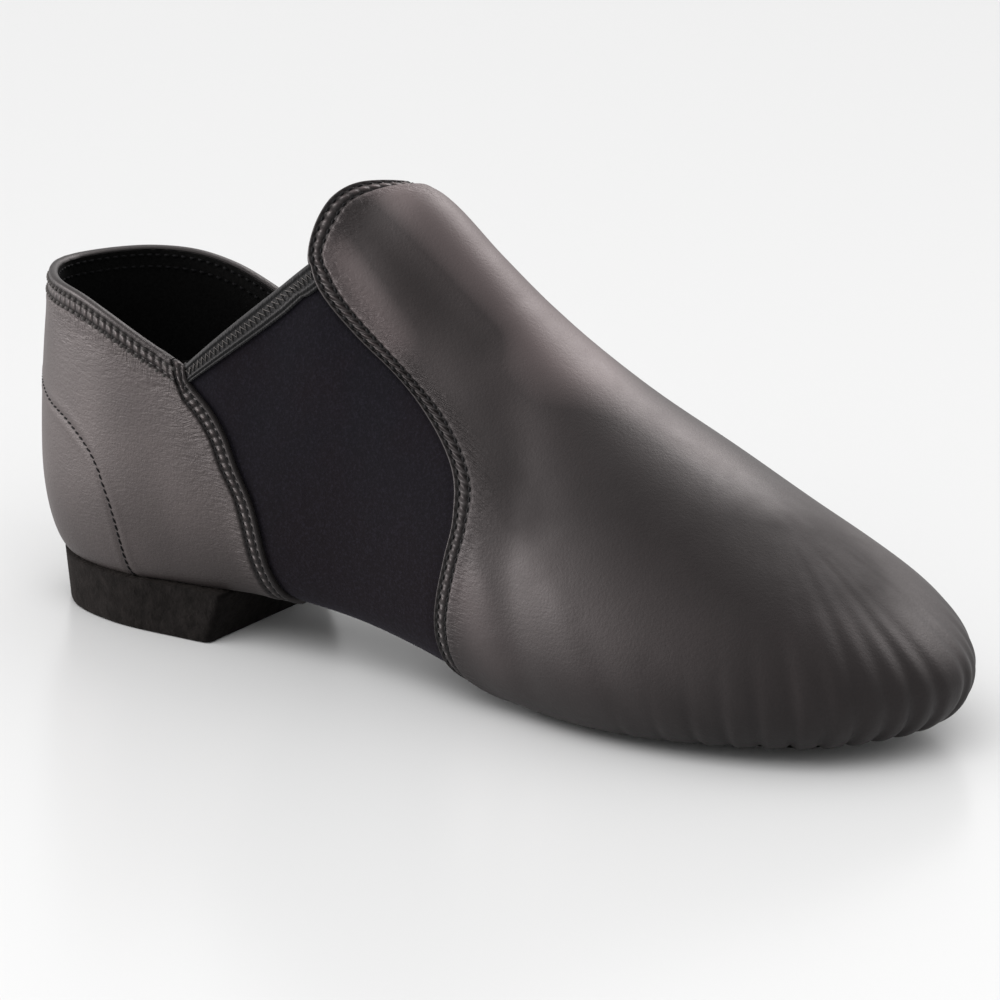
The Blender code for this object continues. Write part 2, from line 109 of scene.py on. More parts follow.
COLLAR = (
    (0.00, 1.000),
    (0.25, 1.003),
    (0.44, 0.990),
    (0.58, 0.963),
    (0.82, 0.893),
    (1.00, NOTCH_HEIGHT / COLLAR_HEIGHT),
)
SEAM = (
    (0.00, 0.348, 0.564),
    (0.10, 0.336, 0.538),
    (0.22, 0.326, 0.528),
    (0.40, 0.313, 0.530),
    (0.50, 0.296, 0.538),
    (0.60, 0.284, 0.544),
    (0.70, 0.270, 0.531),
    (0.78, 0.258, 0.487),
    (0.86, 0.247, 0.415),
    (0.93, 0.240, 0.374),
    (1.00, NOTCH_AT / LENGTH, TONGUE_AT / LENGTH),
)


def column(table, number):
    return np.array([row[number] for row in table], dtype=float)


def smooth(xs, ys, x):
    x = np.clip(np.asarray(x, dtype=float), xs[0], xs[-1])
    step = np.diff(xs)
    rise = np.diff(ys) / step
    slope = np.empty_like(ys)
    slope[1:-1] = (rise[:-1] * step[1:] + rise[1:] * step[:-1]) / (step[:-1] + step[1:])
    slope[0] = 1.5 * rise[0] - 0.5 * slope[1]
    slope[-1] = 1.5 * rise[-1] - 0.5 * slope[-2]
    i = np.clip(np.searchsorted(xs, x, side="right") - 1, 0, len(xs) - 2)
    t = (x - xs[i]) / step[i]
    return ((2 * t**3 - 3 * t**2 + 1) * ys[i] + (t**3 - 2 * t**2 + t) * step[i] * slope[i]
            + (3 * t**2 - 2 * t**3) * ys[i + 1] + (t**3 - t**2) * step[i] * slope[i + 1])


def unit(vectors):
    return vectors / np.linalg.norm(vectors, axis=-1, keepdims=True)


def quarter_turn(count):
    return np.linspace(0, math.pi / 2, count)


def by_side(side, look):
    """look(-1) for the places on the outer side and look(1) for those on the inner one."""
    return np.where(np.asarray(side) < 0, look(-1), look(1))


def crossing(low, high, still, steps):
    """Between low and high, the places past which the test still() no longer holds."""
    for _ in range(steps):
        middle = (low + high) / 2
        held = still(middle)
        low, high = np.where(held, middle, low), np.where(held, high, middle)
    return (low + high) / 2


def section(number, x):
    return smooth(column(SECTION, 0) * LENGTH, column(SECTION, number), x)


def feather_height(x):
    return HEEL_LIFT * section(1, x)


def plan_ring():
    outer = [(row[0] * LENGTH, -row[1] * row[2]) for row in PLAN]
    inner = [(row[0] * LENGTH, row[1] * row[3]) for row in PLAN]
    ring = [(0.0, 0.0)] + outer + [(LENGTH, 0.0)] + inner[::-1]
    ring = np.array(ring[-3:] + ring + ring[:4])
    walk = np.concatenate([[0.0], np.cumsum(np.sqrt(np.hypot(*np.diff(ring, axis=0).T)))])
    return ring, walk, walk[3], walk[4 + len(PLAN)], walk[5 + 2 * len(PLAN)]


RING, WALK, WALK_HEEL, WALK_TOE, WALK_END = plan_ring()


def plan_point(side, share):
    along = np.where(np.asarray(side) < 0, WALK_HEEL + share * (WALK_TOE - WALK_HEEL),
                     WALK_END - share * (WALK_END - WALK_TOE))
    return smooth(WALK, RING[:, 0], along), smooth(WALK, RING[:, 1], along)


# Both ways along the plan from heel to toe, looked up by station
SHARES = np.linspace(0, 1, 6001)
SHARE_STATION = {side: plan_point(side, SHARES)[0] for side in (-1, 1)}


def plan_share(side, station):
    return by_side(side, lambda s: np.interp(station, SHARE_STATION[s], SHARES))


def spine(station, heel_fan=HEEL_FAN):
    foot = np.where(station < heel_fan, heel_fan / 2 + station**2 / (2 * heel_fan), station)
    past = station - TOE_FAN
    return np.where(past > 0, TOE_FAN + past - past**2 / (2 * (LENGTH - TOE_FAN)), foot)


def ray(side, station, heel_fan=HEEL_FAN):
    x, y = plan_point(side, plan_share(side, station))
    foot = spine(station, heel_fan)
    length = np.hypot(x - foot, y)
    return foot, (x - foot) / length, y / length, length, x


def wall_point(place, angle):
    foot, ux, uy, length, x_out = place
    upper = np.minimum(angle, math.pi / 2)
    lower = np.maximum(angle - math.pi / 2, 0.0)
    tuck = BALL_WIDTH * section(5, x_out)
    out = np.where(angle <= math.pi / 2, length * np.sin(upper),
                   length - tuck * (1 - np.cos(lower)))
    x = foot + ux * out
    feather, widest = feather_height(x), INSTEP_HEIGHT * section(2, x)
    crest, taper = INSTEP_HEIGHT * section(3, x), section(4, x)
    z = np.where(angle <= math.pi / 2,
                 widest + (crest - widest) * np.cos(upper) * (1 - taper * np.sin(upper)**2),
                 widest - (widest - feather) * np.sin(lower))
    return np.stack([x, uy * out, z], axis=-1)


def measured_top_angle(side, station):
    height = np.where(
        station < NOTCH_AT,
        COLLAR_HEIGHT * smooth(column(COLLAR, 0) * NOTCH_AT, column(COLLAR, 1), station),
        np.interp(station, [NOTCH_AT, TONGUE_AT], [NOTCH_HEIGHT, TONGUE_SHOULDER]))
    place = ray(side, np.minimum(station, TONGUE_AT))
    angle = crossing(0.0, math.pi / 2, lambda a: wall_point(place, a)[..., 2] > height, 30)
    climb = np.clip((station - TONGUE_AT) / SHOULDER_RUN, 0, 1)
    return angle * (1 - SHOULDER_CLIMB * climb**2 * (3 - 2 * climb))


# Angle of the top edge or shoulder, closely spaced towards the heel where it turns fastest
TOP_AT = np.unique(np.concatenate([LENGTH * np.linspace(0, 1, 4001)**2,
                                   [NOTCH_AT - 1e-6, NOTCH_AT, TONGUE_AT, TONGUE_AT + 1e-6]]))
TOP_ANGLE = {side: measured_top_angle(side, TOP_AT) for side in (-1, 1)}


def top_angle(side, station):
    return by_side(side, lambda s: np.interp(station, TOP_AT, TOP_ANGLE[s]))


def skin(side, station, up):
    side, station, up = np.broadcast_arrays(*(np.asarray(a, float) for a in (side, station, up)))
    top = top_angle(side, station)
    angle = np.where(up < WIDEST, math.pi - (math.pi / 2) * up / WIDEST,
                     math.pi / 2 + (up - WIDEST) / (1 - WIDEST) * (top - math.pi / 2))
    return wall_point(ray(side, station), np.where(up > 1, top * (2 - up), angle))


def underside(side, station, inward):
    foot, ux, uy, length, x_out = ray(side, station)
    out = np.maximum(length - BALL_WIDTH * section(5, x_out) - inward, 0.0)
    x = foot + ux * out
    return np.stack([x, uy * out, feather_height(x)], axis=-1)


def outward(side, station, up):
    side, station, up = np.broadcast_arrays(*(np.asarray(a, float) for a in (side, station, up)))
    step = 2e-4
    along = skin(side, station + step, up) - skin(side, station - step, up)
    across = skin(side, station, up + 0.002) - skin(side, station, up - 0.002)
    return unit(np.cross(along, across) * -side[..., None])


def quarter_edge(up):
    return LENGTH * smooth(column(SEAM, 0), column(SEAM, 1), np.clip(up, 0, 1))


def vamp_edge(up, side=-1):
    rise = np.clip(np.asarray(up, float) - 1, 0, 1)
    edge = LENGTH * smooth(column(SEAM, 0), column(SEAM, 2), np.clip(up, 0, 1))
    sweep = INNER_SWEEP / TONGUE_LEAN * np.sin(math.pi * rise**2.4)
    lean = np.where(np.asarray(side) < 0, rise**OUTER_LEAN, rise**INNER_LEAN + sweep)
    return edge + TONGUE_LEAN * lean - TONGUE_BOW * np.sin(math.pi * rise**0.6)


# Station distance per distance at right angles to each edge, looked up by up
EDGE_UPS = np.linspace(0, 2, 401)
EDGE_REACH = 0.05            # the edge's direction is taken over this much up and down
WIDEST_SCALE = 1.8
BLUR = 31                    # neighbouring ups that a scale is the mean of


def measured_band_scale(edge, side):
    low, high = (np.clip(EDGE_UPS + reach, 0, 2) for reach in (-EDGE_REACH, EDGE_REACH))
    travel = unit(skin(side, edge(high), high) - skin(side, edge(low), low))
    ahead = (skin(side, edge(EDGE_UPS) + MM, EDGE_UPS) - skin(side, edge(EDGE_UPS), EDGE_UPS)) / MM
    ahead -= travel * np.sum(ahead * travel, axis=-1, keepdims=True)
    scale = np.minimum(1 / np.linalg.norm(ahead, axis=-1), WIDEST_SCALE)
    return np.convolve(np.pad(scale, BLUR // 2, "edge"), np.ones(BLUR) / BLUR, "valid")


QUARTER_SCALE = measured_band_scale(quarter_edge, -1)
VAMP_SCALE = {side: measured_band_scale(lambda up, s=side: vamp_edge(up, s), side)
              for side in (-1, 1)}


def quarter_scale(up):
    return np.interp(np.minimum(up, 0.98), EDGE_UPS, QUARTER_SCALE)


def vamp_scale(up, side):
    return by_side(side, lambda s: np.interp(up, EDGE_UPS, VAMP_SCALE[s]))


# From the surface's frame to the part's, whose origin lies under its middle
RIM_Y = np.concatenate([skin(s, np.linspace(0, LENGTH, 400), WIDEST) for s in (-1, 1)])[:, 1]
SHIFT = np.array([-LENGTH / 2, -(RIM_Y.min() + RIM_Y.max()) / 2, 0.0])


# Meshes

def add_object(name, data):
    thing = bpy.data.objects.new(name, data)
    bpy.context.scene.collection.objects.link(thing)
    return thing


def mesh_piece(name, points, faces, material, **attributes):
    """One visible piece; the attributes hold a value for each of its points."""
    mesh = bpy.data.meshes.new(name)
    mesh.from_pydata((np.asarray(points) + SHIFT).tolist(), [], faces)
    mesh.polygons.foreach_set("use_smooth", [True] * len(mesh.polygons))
    for key, values in attributes.items():
        layer = mesh.attributes.new(key, "FLOAT", "POINT")
        layer.data.foreach_set("value", np.asarray(values, dtype=np.float32))
    mesh.validate()
    mesh.update()
    mesh.materials.append(material)
    piece = add_object(name, mesh)
    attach(piece, "root")
    return piece


def weld(points, quads):
    """Join points that coincide, and drop what the join makes empty."""
    keys = np.round(points * 1e6).astype(np.int64)
    _, first, number = np.unique(keys, axis=0, return_index=True, return_inverse=True)
    number = number.reshape(-1)
    faces = []
    for quad in number[quads].tolist():
        ring = [n for i, n in enumerate(quad) if n != quad[i - 1]]
        if len(ring) > 2 and len(set(ring)) == len(ring):
            faces.append(ring)
    return first, number, faces


def face_normals(points, faces):
    normals = np.zeros_like(points)
    quads = np.array([f if len(f) == 4 else f + [f[-1]] for f in faces])
    a, b, c, d = (points[quads[:, i]] for i in range(4))
    area = np.cross(c - a, d - b)
    for i in range(4):
        np.add.at(normals, quads[:, i], area)
    scale = np.linalg.norm(normals, axis=1, keepdims=True)
    return normals / np.where(scale > 0, scale, 1)


def grid_quads(rows, columns, flip=False):
    r, c = np.meshgrid(np.arange(rows - 1), np.arange(columns - 1), indexing="ij")
    a = (r * columns + c).ravel()
    quads = np.stack([a, a + 1, a + columns + 1, a + columns], axis=1)
    return quads[:, ::-1] if flip else quads


def ring_faces(rings, sides, caps=False):
    """Faces between closed rings of points, and over both ends if they are capped."""
    faces = [(i * sides + k, i * sides + (k + 1) % sides,
              (i + 1) * sides + (k + 1) % sides, (i + 1) * sides + k)
             for i in range(rings - 1) for k in range(sides)]
    if caps:
        faces += [tuple(range(sides))[::-1], tuple(range((rings - 1) * sides, rings * sides))]
    return faces


def profile(table, distance):
    """Soft curve in metres through a short table of (distance, height) in millimetres."""
    xs, ys = column(table, 0), column(table, 1)
    return smooth(xs, ys, np.clip(distance, xs[0], xs[-1])) * MM


def hump(x):
    return np.exp(-x * x)


def fine(count):
    return count


def levels(ends, counts):
    """Evenly spaced values from each end to the next, with each end once."""
    parts = [np.linspace(a, b, n) for a, b, n in zip(ends, ends[1:], counts)]
    return np.concatenate([part[:-1] for part in parts[:-1]] + parts[-1:])


# Stitches

class Stitches:
    """Collects stitches and makes one mesh of them."""

    RINGS, SIDES = 5, 6

    def __init__(self):
        self.points = []

    def add(self, row, walks, length, width, sink, tilt):
        """Stitches on a row, a function from walked millimetres to places and normals."""
        places, up = row(walks)
        along = unit(row(walks + 0.3)[0] - row(walks - 0.3)[0])
        up = unit(up - along * np.sum(up * along, axis=1, keepdims=True))
        across = np.cross(up, along)
        along = along * math.cos(tilt) + across * math.sin(tilt)
        across = np.cross(up, along)
        length, width, sink = length * MM, width * MM, sink * MM
        t = np.linspace(-1, 1, self.RINGS)[:, None, None]
        turn = 2 * math.pi * np.arange(self.SIDES)[:, None] / self.SIDES
        thick = width / 2 * np.sqrt(np.maximum(1 - (t * 0.93)**2, 0.16))
        rise = width * 0.30 * (1 - t * t) - sink - width * 0.40 * t * t
        places, along, across, up = (a[:, None, None] for a in (places, along, across, up))
        self.points.append((places + along * (t * length / 2) + across * (thick * np.cos(turn))
                            + up * (rise + thick * 0.8 * np.sin(turn))).reshape(-1, 3))

    def piece(self, name, material):
        points, size = np.concatenate(self.points), self.RINGS * self.SIDES
        pattern = ring_faces(self.RINGS, self.SIDES, caps=True)
        faces = [tuple(base + i for i in face)
                 for base in range(0, len(points), size) for face in pattern]
        return mesh_piece(name, points, faces, material)


def walked(places):
    """Millimetres walked along a line of places."""
    return np.concatenate([[0.0], np.cumsum(np.linalg.norm(np.diff(places, axis=0), axis=1))]) / MM


def middles(total, pitch):
    """Walked distances of the middles of the whole stitches that fit."""
    return (np.arange(int(total / pitch)) + 0.5) * pitch


def tube(points, normals, radius, sides):
    """Open tube along a line."""
    along = unit(np.gradient(points, axis=0))
    across = unit(np.cross(normals, along))
    up = np.cross(along, across)
    turns = 2 * math.pi * np.arange(sides) / sides
    rings = [points + across * (radius * math.cos(a)) + up * (radius * math.sin(a)) for a in turns]
    return np.stack(rings, axis=1).reshape(-1, 3), ring_faces(len(points), sides)


# Materials

def shade(color, factor):
    return tuple(c * factor for c in color)


class Shader:
    """A Principled material with a few helpers for its nodes."""

    def __init__(self, name, color, roughness, specular, **extra):
        self.material = bpy.data.materials.new(name)
        self.material.use_nodes = True
        self.tree = self.material.node_tree
        self.shader = self.tree.nodes["Principled BSDF"]
        constants = {"Base Color": (*color, 1), "Roughness": roughness,
                     "Specular IOR Level": specular, **extra}
        for key, value in constants.items():
            self.shader.inputs[key.replace("_", " ")].default_value = value
        self.material.diffuse_color = (*color, 1)
        self.coords = self.node("ShaderNodeTexCoord").outputs["Object"]

    def node(self, kind, vector=None, **settings):
        """A new node; settings name its inputs, or its own properties in small letters."""
        node = self.tree.nodes.new(kind)
        for key, value in settings.items():
            if key[0].isupper():
                node.inputs[key.replace("_", " ")].default_value = value
            else:
                setattr(node, key, value)
        if vector is not None:
            self.link(vector, node.inputs["Vector"])
        return node

    def link(self, a, b):
        self.tree.links.new(a, b)

    def noise(self, scale, detail=3.0, rough=0.55, distortion=0.0, coords=None):
        return self.node("ShaderNodeTexNoise", coords or self.coords, Scale=scale, Detail=detail,
                         Roughness=rough, Distortion=distortion).outputs["Fac"]

    def stretch(self, scale, rotation=(0.0, 0.0, 0.0)):
        return self.node("ShaderNodeMapping", self.coords, Scale=scale,
                         Rotation=rotation).outputs["Vector"]

    def height(self):
        return self.node("ShaderNodeSeparateXYZ", self.coords).outputs["Z"]

    def math(self, operation, *values):
        node = self.node("ShaderNodeMath", operation=operation)
        for socket, value in zip(node.inputs, values):
            if isinstance(value, (int, float)):
                socket.default_value = value
            else:
                self.link(value, socket)
        return node.outputs[0]

    def times(self, a, b):
        return self.math("MULTIPLY", a, b)

    def plus(self, a, b):
        return self.math("ADD", a, b)

    def minus(self, a, b):
        return self.math("SUBTRACT", a, b)

    def ramp(self, value, low, high, to_low=0.0, to_high=1.0):
        node = self.node("ShaderNodeMapRange", From_Min=low, From_Max=high, To_Min=to_low,
                         To_Max=to_high)
        self.link(value, node.inputs["Value"])
        return node.outputs["Result"]

    def mix(self, factor, a, b):
        node = self.node("ShaderNodeMix", data_type="RGBA")
        self.link(factor, node.inputs["Factor"])
        for socket, value in ((node.inputs[6], a), (node.inputs[7], b)):
            if isinstance(value, tuple):
                socket.default_value = (*value, 1)
            else:
                self.link(value, socket)
        return node.outputs[2]

    def attribute(self, name):
        return self.node("ShaderNodeAttribute", attribute_name=name).outputs["Fac"]

    def total(self, first, *others):
        for value in others:
            first = self.plus(first, value)
        return first

    def near(self, distance, centre, width):
        """1 at a distance from a seam, fading to 0 over the width."""
        x = self.math("DIVIDE", self.minus(distance, centre), width)
        return self.math("EXPONENT", self.times(self.times(x, x), -1.0))

    def pulse(self, walk, pitch, shift):
        """1 at the middle of each stitch and 0 at its ends."""
        turn = self.plus(self.times(walk, 2 * math.pi / pitch), math.pi + shift)
        return self.plus(self.times(self.math("COSINE", turn), 0.5), 0.5)

    def seam(self, dist_name, walk_name, rows, pitch, shifts):
        """Relief, painted shade in the stitch grooves and painted shade over the band of a double
        row of stitches, from the millimetres walked along it and across it."""
        dist, walk = self.attribute(dist_name), self.attribute(walk_name)
        relief, groove_shade = [], []
        for row, shift in zip(rows, shifts):
            line = self.near(dist, row, 0.55)
            ends = self.minus(1.0, self.pulse(walk, pitch, shift))
            hole = self.plus(self.times(self.times(ends, ends), 0.7), 0.3)
            relief.append(self.times(self.times(line, hole), -1.0))
            groove_shade.append(line)
        pad = self.near(dist, sum(rows) / 2, (rows[1] - rows[0]) * 0.36)
        puff = self.pulse(walk, pitch, sum(shifts) / 2)
        relief.append(self.times(pad, self.minus(self.times(puff, 1.1), 0.3)))
        relief.append(self.times(self.near(dist, rows[1] + 0.9, 0.5),
                                 self.times(self.pulse(walk, pitch, shifts[1]), 0.35)))
        place = self.node("ShaderNodeCombineXYZ")
        self.link(self.times(walk, 1.25), place.inputs["X"])
        self.link(self.times(dist, 0.20), place.inputs["Y"])
        pucker = self.noise(1.0, 3.0, 0.6, 0.3, place.outputs["Vector"])
        past_band = dist, rows[1] + 0.2, rows[1] + 1.0
        reach = self.times(self.near(dist, rows[1] + 2.2, 2.6), self.ramp(*past_band))
        relief.append(self.times(self.minus(pucker, 0.5), self.times(reach, 0.9)))
        # Painted shade over the band, lifted on the puffed pads between stitches where light falls
        band = self.times(self.ramp(*past_band, 1.0, 0.0), self.minus(1.0, self.times(pad, puff)))
        return self.total(*relief), self.total(*groove_shade), band

    def bump(self, height, distance, strength, under=None):
        node = self.node("ShaderNodeBump", Distance=distance, Strength=strength)
        self.link(height, node.inputs["Height"])
        if under is not None:
            self.link(under, node.inputs["Normal"])
        return node.outputs["Normal"]

    def finish(self, color, normal, roughness=None):
        """Links what drives the shader, and returns the material."""
        self.link(color, self.shader.inputs["Base Color"])
        self.link(normal, self.shader.inputs["Normal"])
        if roughness is not None:
            self.link(roughness, self.shader.inputs["Roughness"])
        return self.material


def leather(name, base, grain, wrinkle, roughness, seams):
    s = Shader(name, base, roughness, 0.30, Specular_Tint=(1.0, 0.94, 0.95, 1))
    cells = s.node("ShaderNodeTexVoronoi", s.coords, feature="SMOOTH_F1",
                   Scale=1250.0).outputs["Distance"]
    ripple = s.noise(1.0, 4.0, 0.6, 0.9, s.stretch((330.0, 800.0, 1150.0), (0.0, 0.75, 0.0)))
    height = s.plus(s.times(cells, grain * 0.55), s.times(s.noise(2100.0), grain))
    relief = s.bump(height, 0.00011, 0.5)
    ripple = s.times(ripple, s.plus(s.attribute("seam_near"), wrinkle))
    relief = s.bump(ripple, 0.0006, 0.75, relief)
    relief = s.bump(s.noise(60.0), 0.0012, 0.025, relief)
    darker = shade(base, 0.72)
    tone = s.mix(s.ramp(s.noise(24.0, 2.0), 0.35, 0.7), darker, shade(base, 1.35))
    tone = s.mix(s.ramp(cells, 0.0, 0.5, 0.55, 0.0), tone, darker)
    # Painted highlight and painted shade: paler leather where light falls on the crest, darker and
    # rougher leather where shade falls in the trough and over the toe
    light_and_shade = s.attribute("rubbed")
    shade_and_roughness = s.ramp(light_and_shade, -1.0, 0.0, 1.0, 0.0)
    tone = s.mix(s.ramp(light_and_shade, 0.0, 1.0, 0.0, 0.9), tone, shade(base, 7.0))
    tone = s.mix(s.times(shade_and_roughness, 0.7), tone, shade(base, 0.3))
    # Painted shade: the leather darker towards the floor, below 34 mm
    tone = s.mix(s.ramp(s.height(), 0.006, 0.034, 0.75, 0.0), tone, shade(base, 0.25))
    for seam in seams:
        stitches, groove_shade, band = s.seam(*seam)
        relief = s.bump(stitches, 0.00045, 1.0, relief)
        # Painted shade: the stitched band darker, and near black along the sunken stitch rows
        tone = s.mix(s.ramp(band, 0.0, 1.0, 0.0, 0.85), tone, (0.0075, 0.0068, 0.0067))
        tone = s.mix(s.ramp(groove_shade, 0.25, 0.9, 0.0, 0.75), tone, (0.003, 0.003, 0.003))
    dry = s.ramp(s.noise(180.0, 2.0), 0.3, 0.7, roughness - 0.015, roughness + 0.03)
    return s.finish(tone, relief, s.plus(dry, s.times(shade_and_roughness, 0.20)))


def stretch_cloth(name, base):
    s = Shader(name, base, 0.90, 0.07, Sheen_Weight=0.03, Sheen_Roughness=0.5,
               Sheen_Tint=(0.45, 0.47, 0.60, 1))
    knit = s.noise(1500.0, 3.0, 0.75)
    relief = s.bump(s.noise(420.0), 0.0005, 0.25, s.bump(knit, 0.00016, 0.5))
    warm = (base[0] * 1.25, base[1] * 0.85, base[2] * 0.85)
    tone = s.mix(s.ramp(s.noise(55.0), 0.42, 0.72, 0.0, 0.75), base, warm)
    low = (base[0] * 0.75, base[1] * 0.45, base[2] * 0.45)
    tone = s.mix(s.ramp(s.height(), 0.015, 0.065, 0.85, 0.0), tone, low)
    return s.finish(s.mix(s.ramp(knit, 0.48, 0.80, 0.0, 0.8), tone, shade(base, 3.2)), relief)


def suede(name, base):
    s = Shader(name, base, 0.95, 0.06, Sheen_Weight=0.02, Sheen_Roughness=0.6,
               Sheen_Tint=(0.6, 0.52, 0.46, 1))
    nap = s.noise(1500.0, 4.0, 0.7)
    clump = s.noise(330.0, 4.0, 0.65)
    tone = s.mix(s.ramp(clump, 0.35, 0.68), shade(base, 0.45), shade(base, 1.9))
    return s.finish(s.mix(s.ramp(nap, 0.4, 0.75, 0.0, 0.5), tone, base),
                    s.bump(clump, 0.0009, 0.6, s.bump(nap, 0.0003, 0.7)))


def woven(name, base, roughness, specular, grain, depth, bounds, tones, spread=None, **extra):
    """Plain cloth, elastic or thread: one fine noise gives both its relief and its tone."""
    s = Shader(name, base, roughness, specular, **extra)
    weave = s.noise(*grain, coords=spread and s.stretch(spread))
    tone = s.mix(s.ramp(weave, *bounds), *(shade(base, t) for t in tones))
    return s.finish(tone, s.bump(weave, *depth))


def thread(name, base):
    return woven(name, base, 0.82, 0.12, (1900.0, 2.0), (0.0002, 0.6), (0.4, 0.7, 0.0, 0.7),
                 (1, 1.8))


def cloth(name, base):
    return woven(name, base, 0.95, 0.08, (1300.0, 3.0, 0.7), (0.0003, 0.6), (0.35, 0.75),
                 (0.6, 1.5))


# Rows of stitches: millimetres from the edge, and their pitch
VAMP_SEAM_ROWS = (1.25, 3.75)
QUARTER_SEAM_ROWS = (1.2, 3.4)
HEM_SEAM_ROWS = (1.9, 4.9)
VAMP_PITCH, QUARTER_PITCH, HEM_PITCH, COUNTER_PITCH = 2.45, 2.1, 2.25, 1.8
# Stitches: length, width and depth sunk in millimetres, and tilt
VAMP_STITCH = (1.85, 0.78, 0.06, 0.12)
QUARTER_STITCH = (1.55, 0.52, 0.06, 0.12)
COUNTER_STITCH = (2.1, 0.52, -0.05, 0.3)
HEM_STITCH = (1.75, 1.0, 0.0, 0.35)
INNER_HEM_STITCH = (1.6, 0.7, 0.0, 0.0)

vamp_leather = leather("vamp_leather", (0.0150, 0.0121, 0.0121), 0.8, 0.055, 0.52,
                       [("band_dist", "band_walk", VAMP_SEAM_ROWS, VAMP_PITCH, (0.0, 0.9))])
quarter_leather = leather("quarter_leather", (0.0340, 0.0284, 0.0277), 1.1, 0.17, 0.52,
                          [("band_dist", "band_walk", QUARTER_SEAM_ROWS, QUARTER_PITCH, (0.0, 0.6)),
                           ("hem_dist", "hem_walk", HEM_SEAM_ROWS, HEM_PITCH, (0.0, 1.2))])
gore_cloth = stretch_cloth("gore_cloth", (0.0034, 0.0030, 0.0046))
strip_cloth = woven("strip_elastic", (0.0065, 0.0065, 0.0070), 0.7, 0.2, (1.0, 2.0, 0.5),
                    (0.0003, 0.7), (0.4, 0.7, 0.0, 0.8), (1, 2.2), (2300.0, 2300.0, 1100.0),
                    Sheen_Weight=0.08, Sheen_Roughness=0.5)
sole_suede = suede("sole_suede", (0.0044, 0.0038, 0.0037))
black_thread = thread("black_thread", (0.0050, 0.0050, 0.0055))
worn_thread = thread("worn_thread", (0.034, 0.032, 0.031))
pale_thread = thread("pale_thread", (0.060, 0.057, 0.055))
lining_cloth = cloth("lining_cloth", (0.0045, 0.0045, 0.0045))
bed_cloth = cloth("bed_cloth", (0.007, 0.007, 0.007))


# Vamp with the rounded tongue top

# Distance from the edge and height over the skin, both in millimetres
VAMP_BAND = ((0.0, -0.28), (0.25, 0.05), (0.55, 0.10), (0.9, -0.08), (1.25, -0.24), (1.75, -0.05),
             (2.5, 0.10), (3.2, -0.06), (3.75, -0.32), (4.2, -0.02), (4.75, 0.42), (5.5, 0.46),
             (7.0, 0.26), (9.0, 0.09), (12.0, 0.0))
QUARTER_BAND = ((0.0, -0.28), (0.25, 0.05), (0.55, 0.10), (0.85, -0.05), (1.2, -0.20), (1.7, 0.0),
                (2.3, 0.10), (2.9, -0.04), (3.4, -0.26), (3.8, -0.02), (4.4, 0.26), (5.2, 0.26),
                (7.0, 0.10), (9.5, 0.0))
HEM = ((0.0, -0.10), (0.3, 0.06), (0.9, 0.10), (1.9, -0.10), (2.6, 0.06), (3.4, 0.12), (4.2, 0.02),
       (4.9, -0.14), (5.6, 0.10), (6.4, 0.22), (8.0, 0.10), (11.0, 0.0))
# The folded edge under them
TURN = ((0.60, -2.1), (0.20, -1.9), (-0.05, -1.4), (-0.12, -0.8))
TURN_OUT, TURN_HIGH = column(TURN, 0), column(TURN, 1) * MM

# Pleats round the toe: millimetres along the outline from the toe tip (- outer side), how
# deep each is and how far up the wall it runs
PLEATS = (
    (-84, 0.30, 0.18), (-74, 0.40, 0.24), (-65, 0.55, 0.28), (-57, 0.65, 0.34), (-49, 0.75, 0.38),
    (-41, 0.95, 0.46), (-33.5, 0.90, 0.50), (-26, 1.10, 0.62), (-19, 0.95, 0.56),
    (-12.5, 1.05, 0.66), (-6, 0.85, 0.58), (0.5, 0.95, 0.62), (7, 0.80, 0.54), (13.5, 0.90, 0.56),
    (21, 0.90, 0.46), (29, 0.80, 0.42), (38, 0.70, 0.38), (48, 0.60, 0.32), (59, 0.50, 0.26),
    (72, 0.35, 0.22),
)


def toe_walk(side, station):
    """Millimetres along the outline from the toe tip, minus on the outer side."""
    shares = np.linspace(0, 1, 500)
    walk = walked(np.stack(plan_point(side, shares), axis=-1))
    return side * (walk[-1] - np.interp(plan_share(side, station), shares, walk))


def pleat_lift(side, station, up):
    """Height of the gathered leather round the toe."""
    lift = np.zeros(np.shape(station))
    for s in (-1, 1):
        mine = side == s
        along = toe_walk(s, station[mine])
        rise = np.clip(up[mine], 0, 2)
        total = np.zeros(along.shape)
        for at, deep, reach in PLEATS:
            lean = at + np.sign(at) * rise * 5.0
            fade = hump(rise / reach)
            total -= deep * fade * hump((along - lean) / (0.8 + 2.2 * rise))
            total += 0.35 * deep * fade * hump((along - lean - 2.6) / (1.6 + 1.5 * rise))
        lift[mine] = total * MM
    return lift


# Soft creases: side, share of LENGTH and up of both ends, half width and height in mm
CREASES = (
    (-1, (0.395, 1.45), (0.530, 0.98), 7.0, -1.60),
    (-1, (0.405, 1.80), (0.540, 1.50), 12.0, 1.60),
    (-1, (0.405, 1.20), (0.460, 0.98), 4.5, 0.70),
    (-1, (0.500, 1.50), (0.640, 1.35), 7.0, 0.35),
    (-1, (0.560, 0.95), (0.640, 0.70), 6.0, -0.80),
    (-1, (0.565, 0.60), (0.600, 0.40), 4.5, 0.65),
    (-1, (0.600, 0.75), (0.640, 0.28), 5.0, -0.90),
    (-1, (0.660, 0.60), (0.720, 0.36), 5.0, 0.35),
    (-1, (0.700, 0.50), (0.760, 0.24), 4.0, -0.35),
    (-1, (0.780, 0.46), (0.850, 0.24), 4.0, -0.30),
    (-1, (0.840, 0.50), (0.900, 0.28), 3.5, 0.25),
    (1, (0.430, 1.55), (0.520, 1.05), 6.0, -0.80),
    (1, (0.560, 0.95), (0.640, 0.70), 6.0, -0.40),
    (1, (0.600, 0.75), (0.640, 0.28), 5.0, -0.45),
    (1, (0.700, 0.50), (0.760, 0.24), 4.0, -0.30),
)


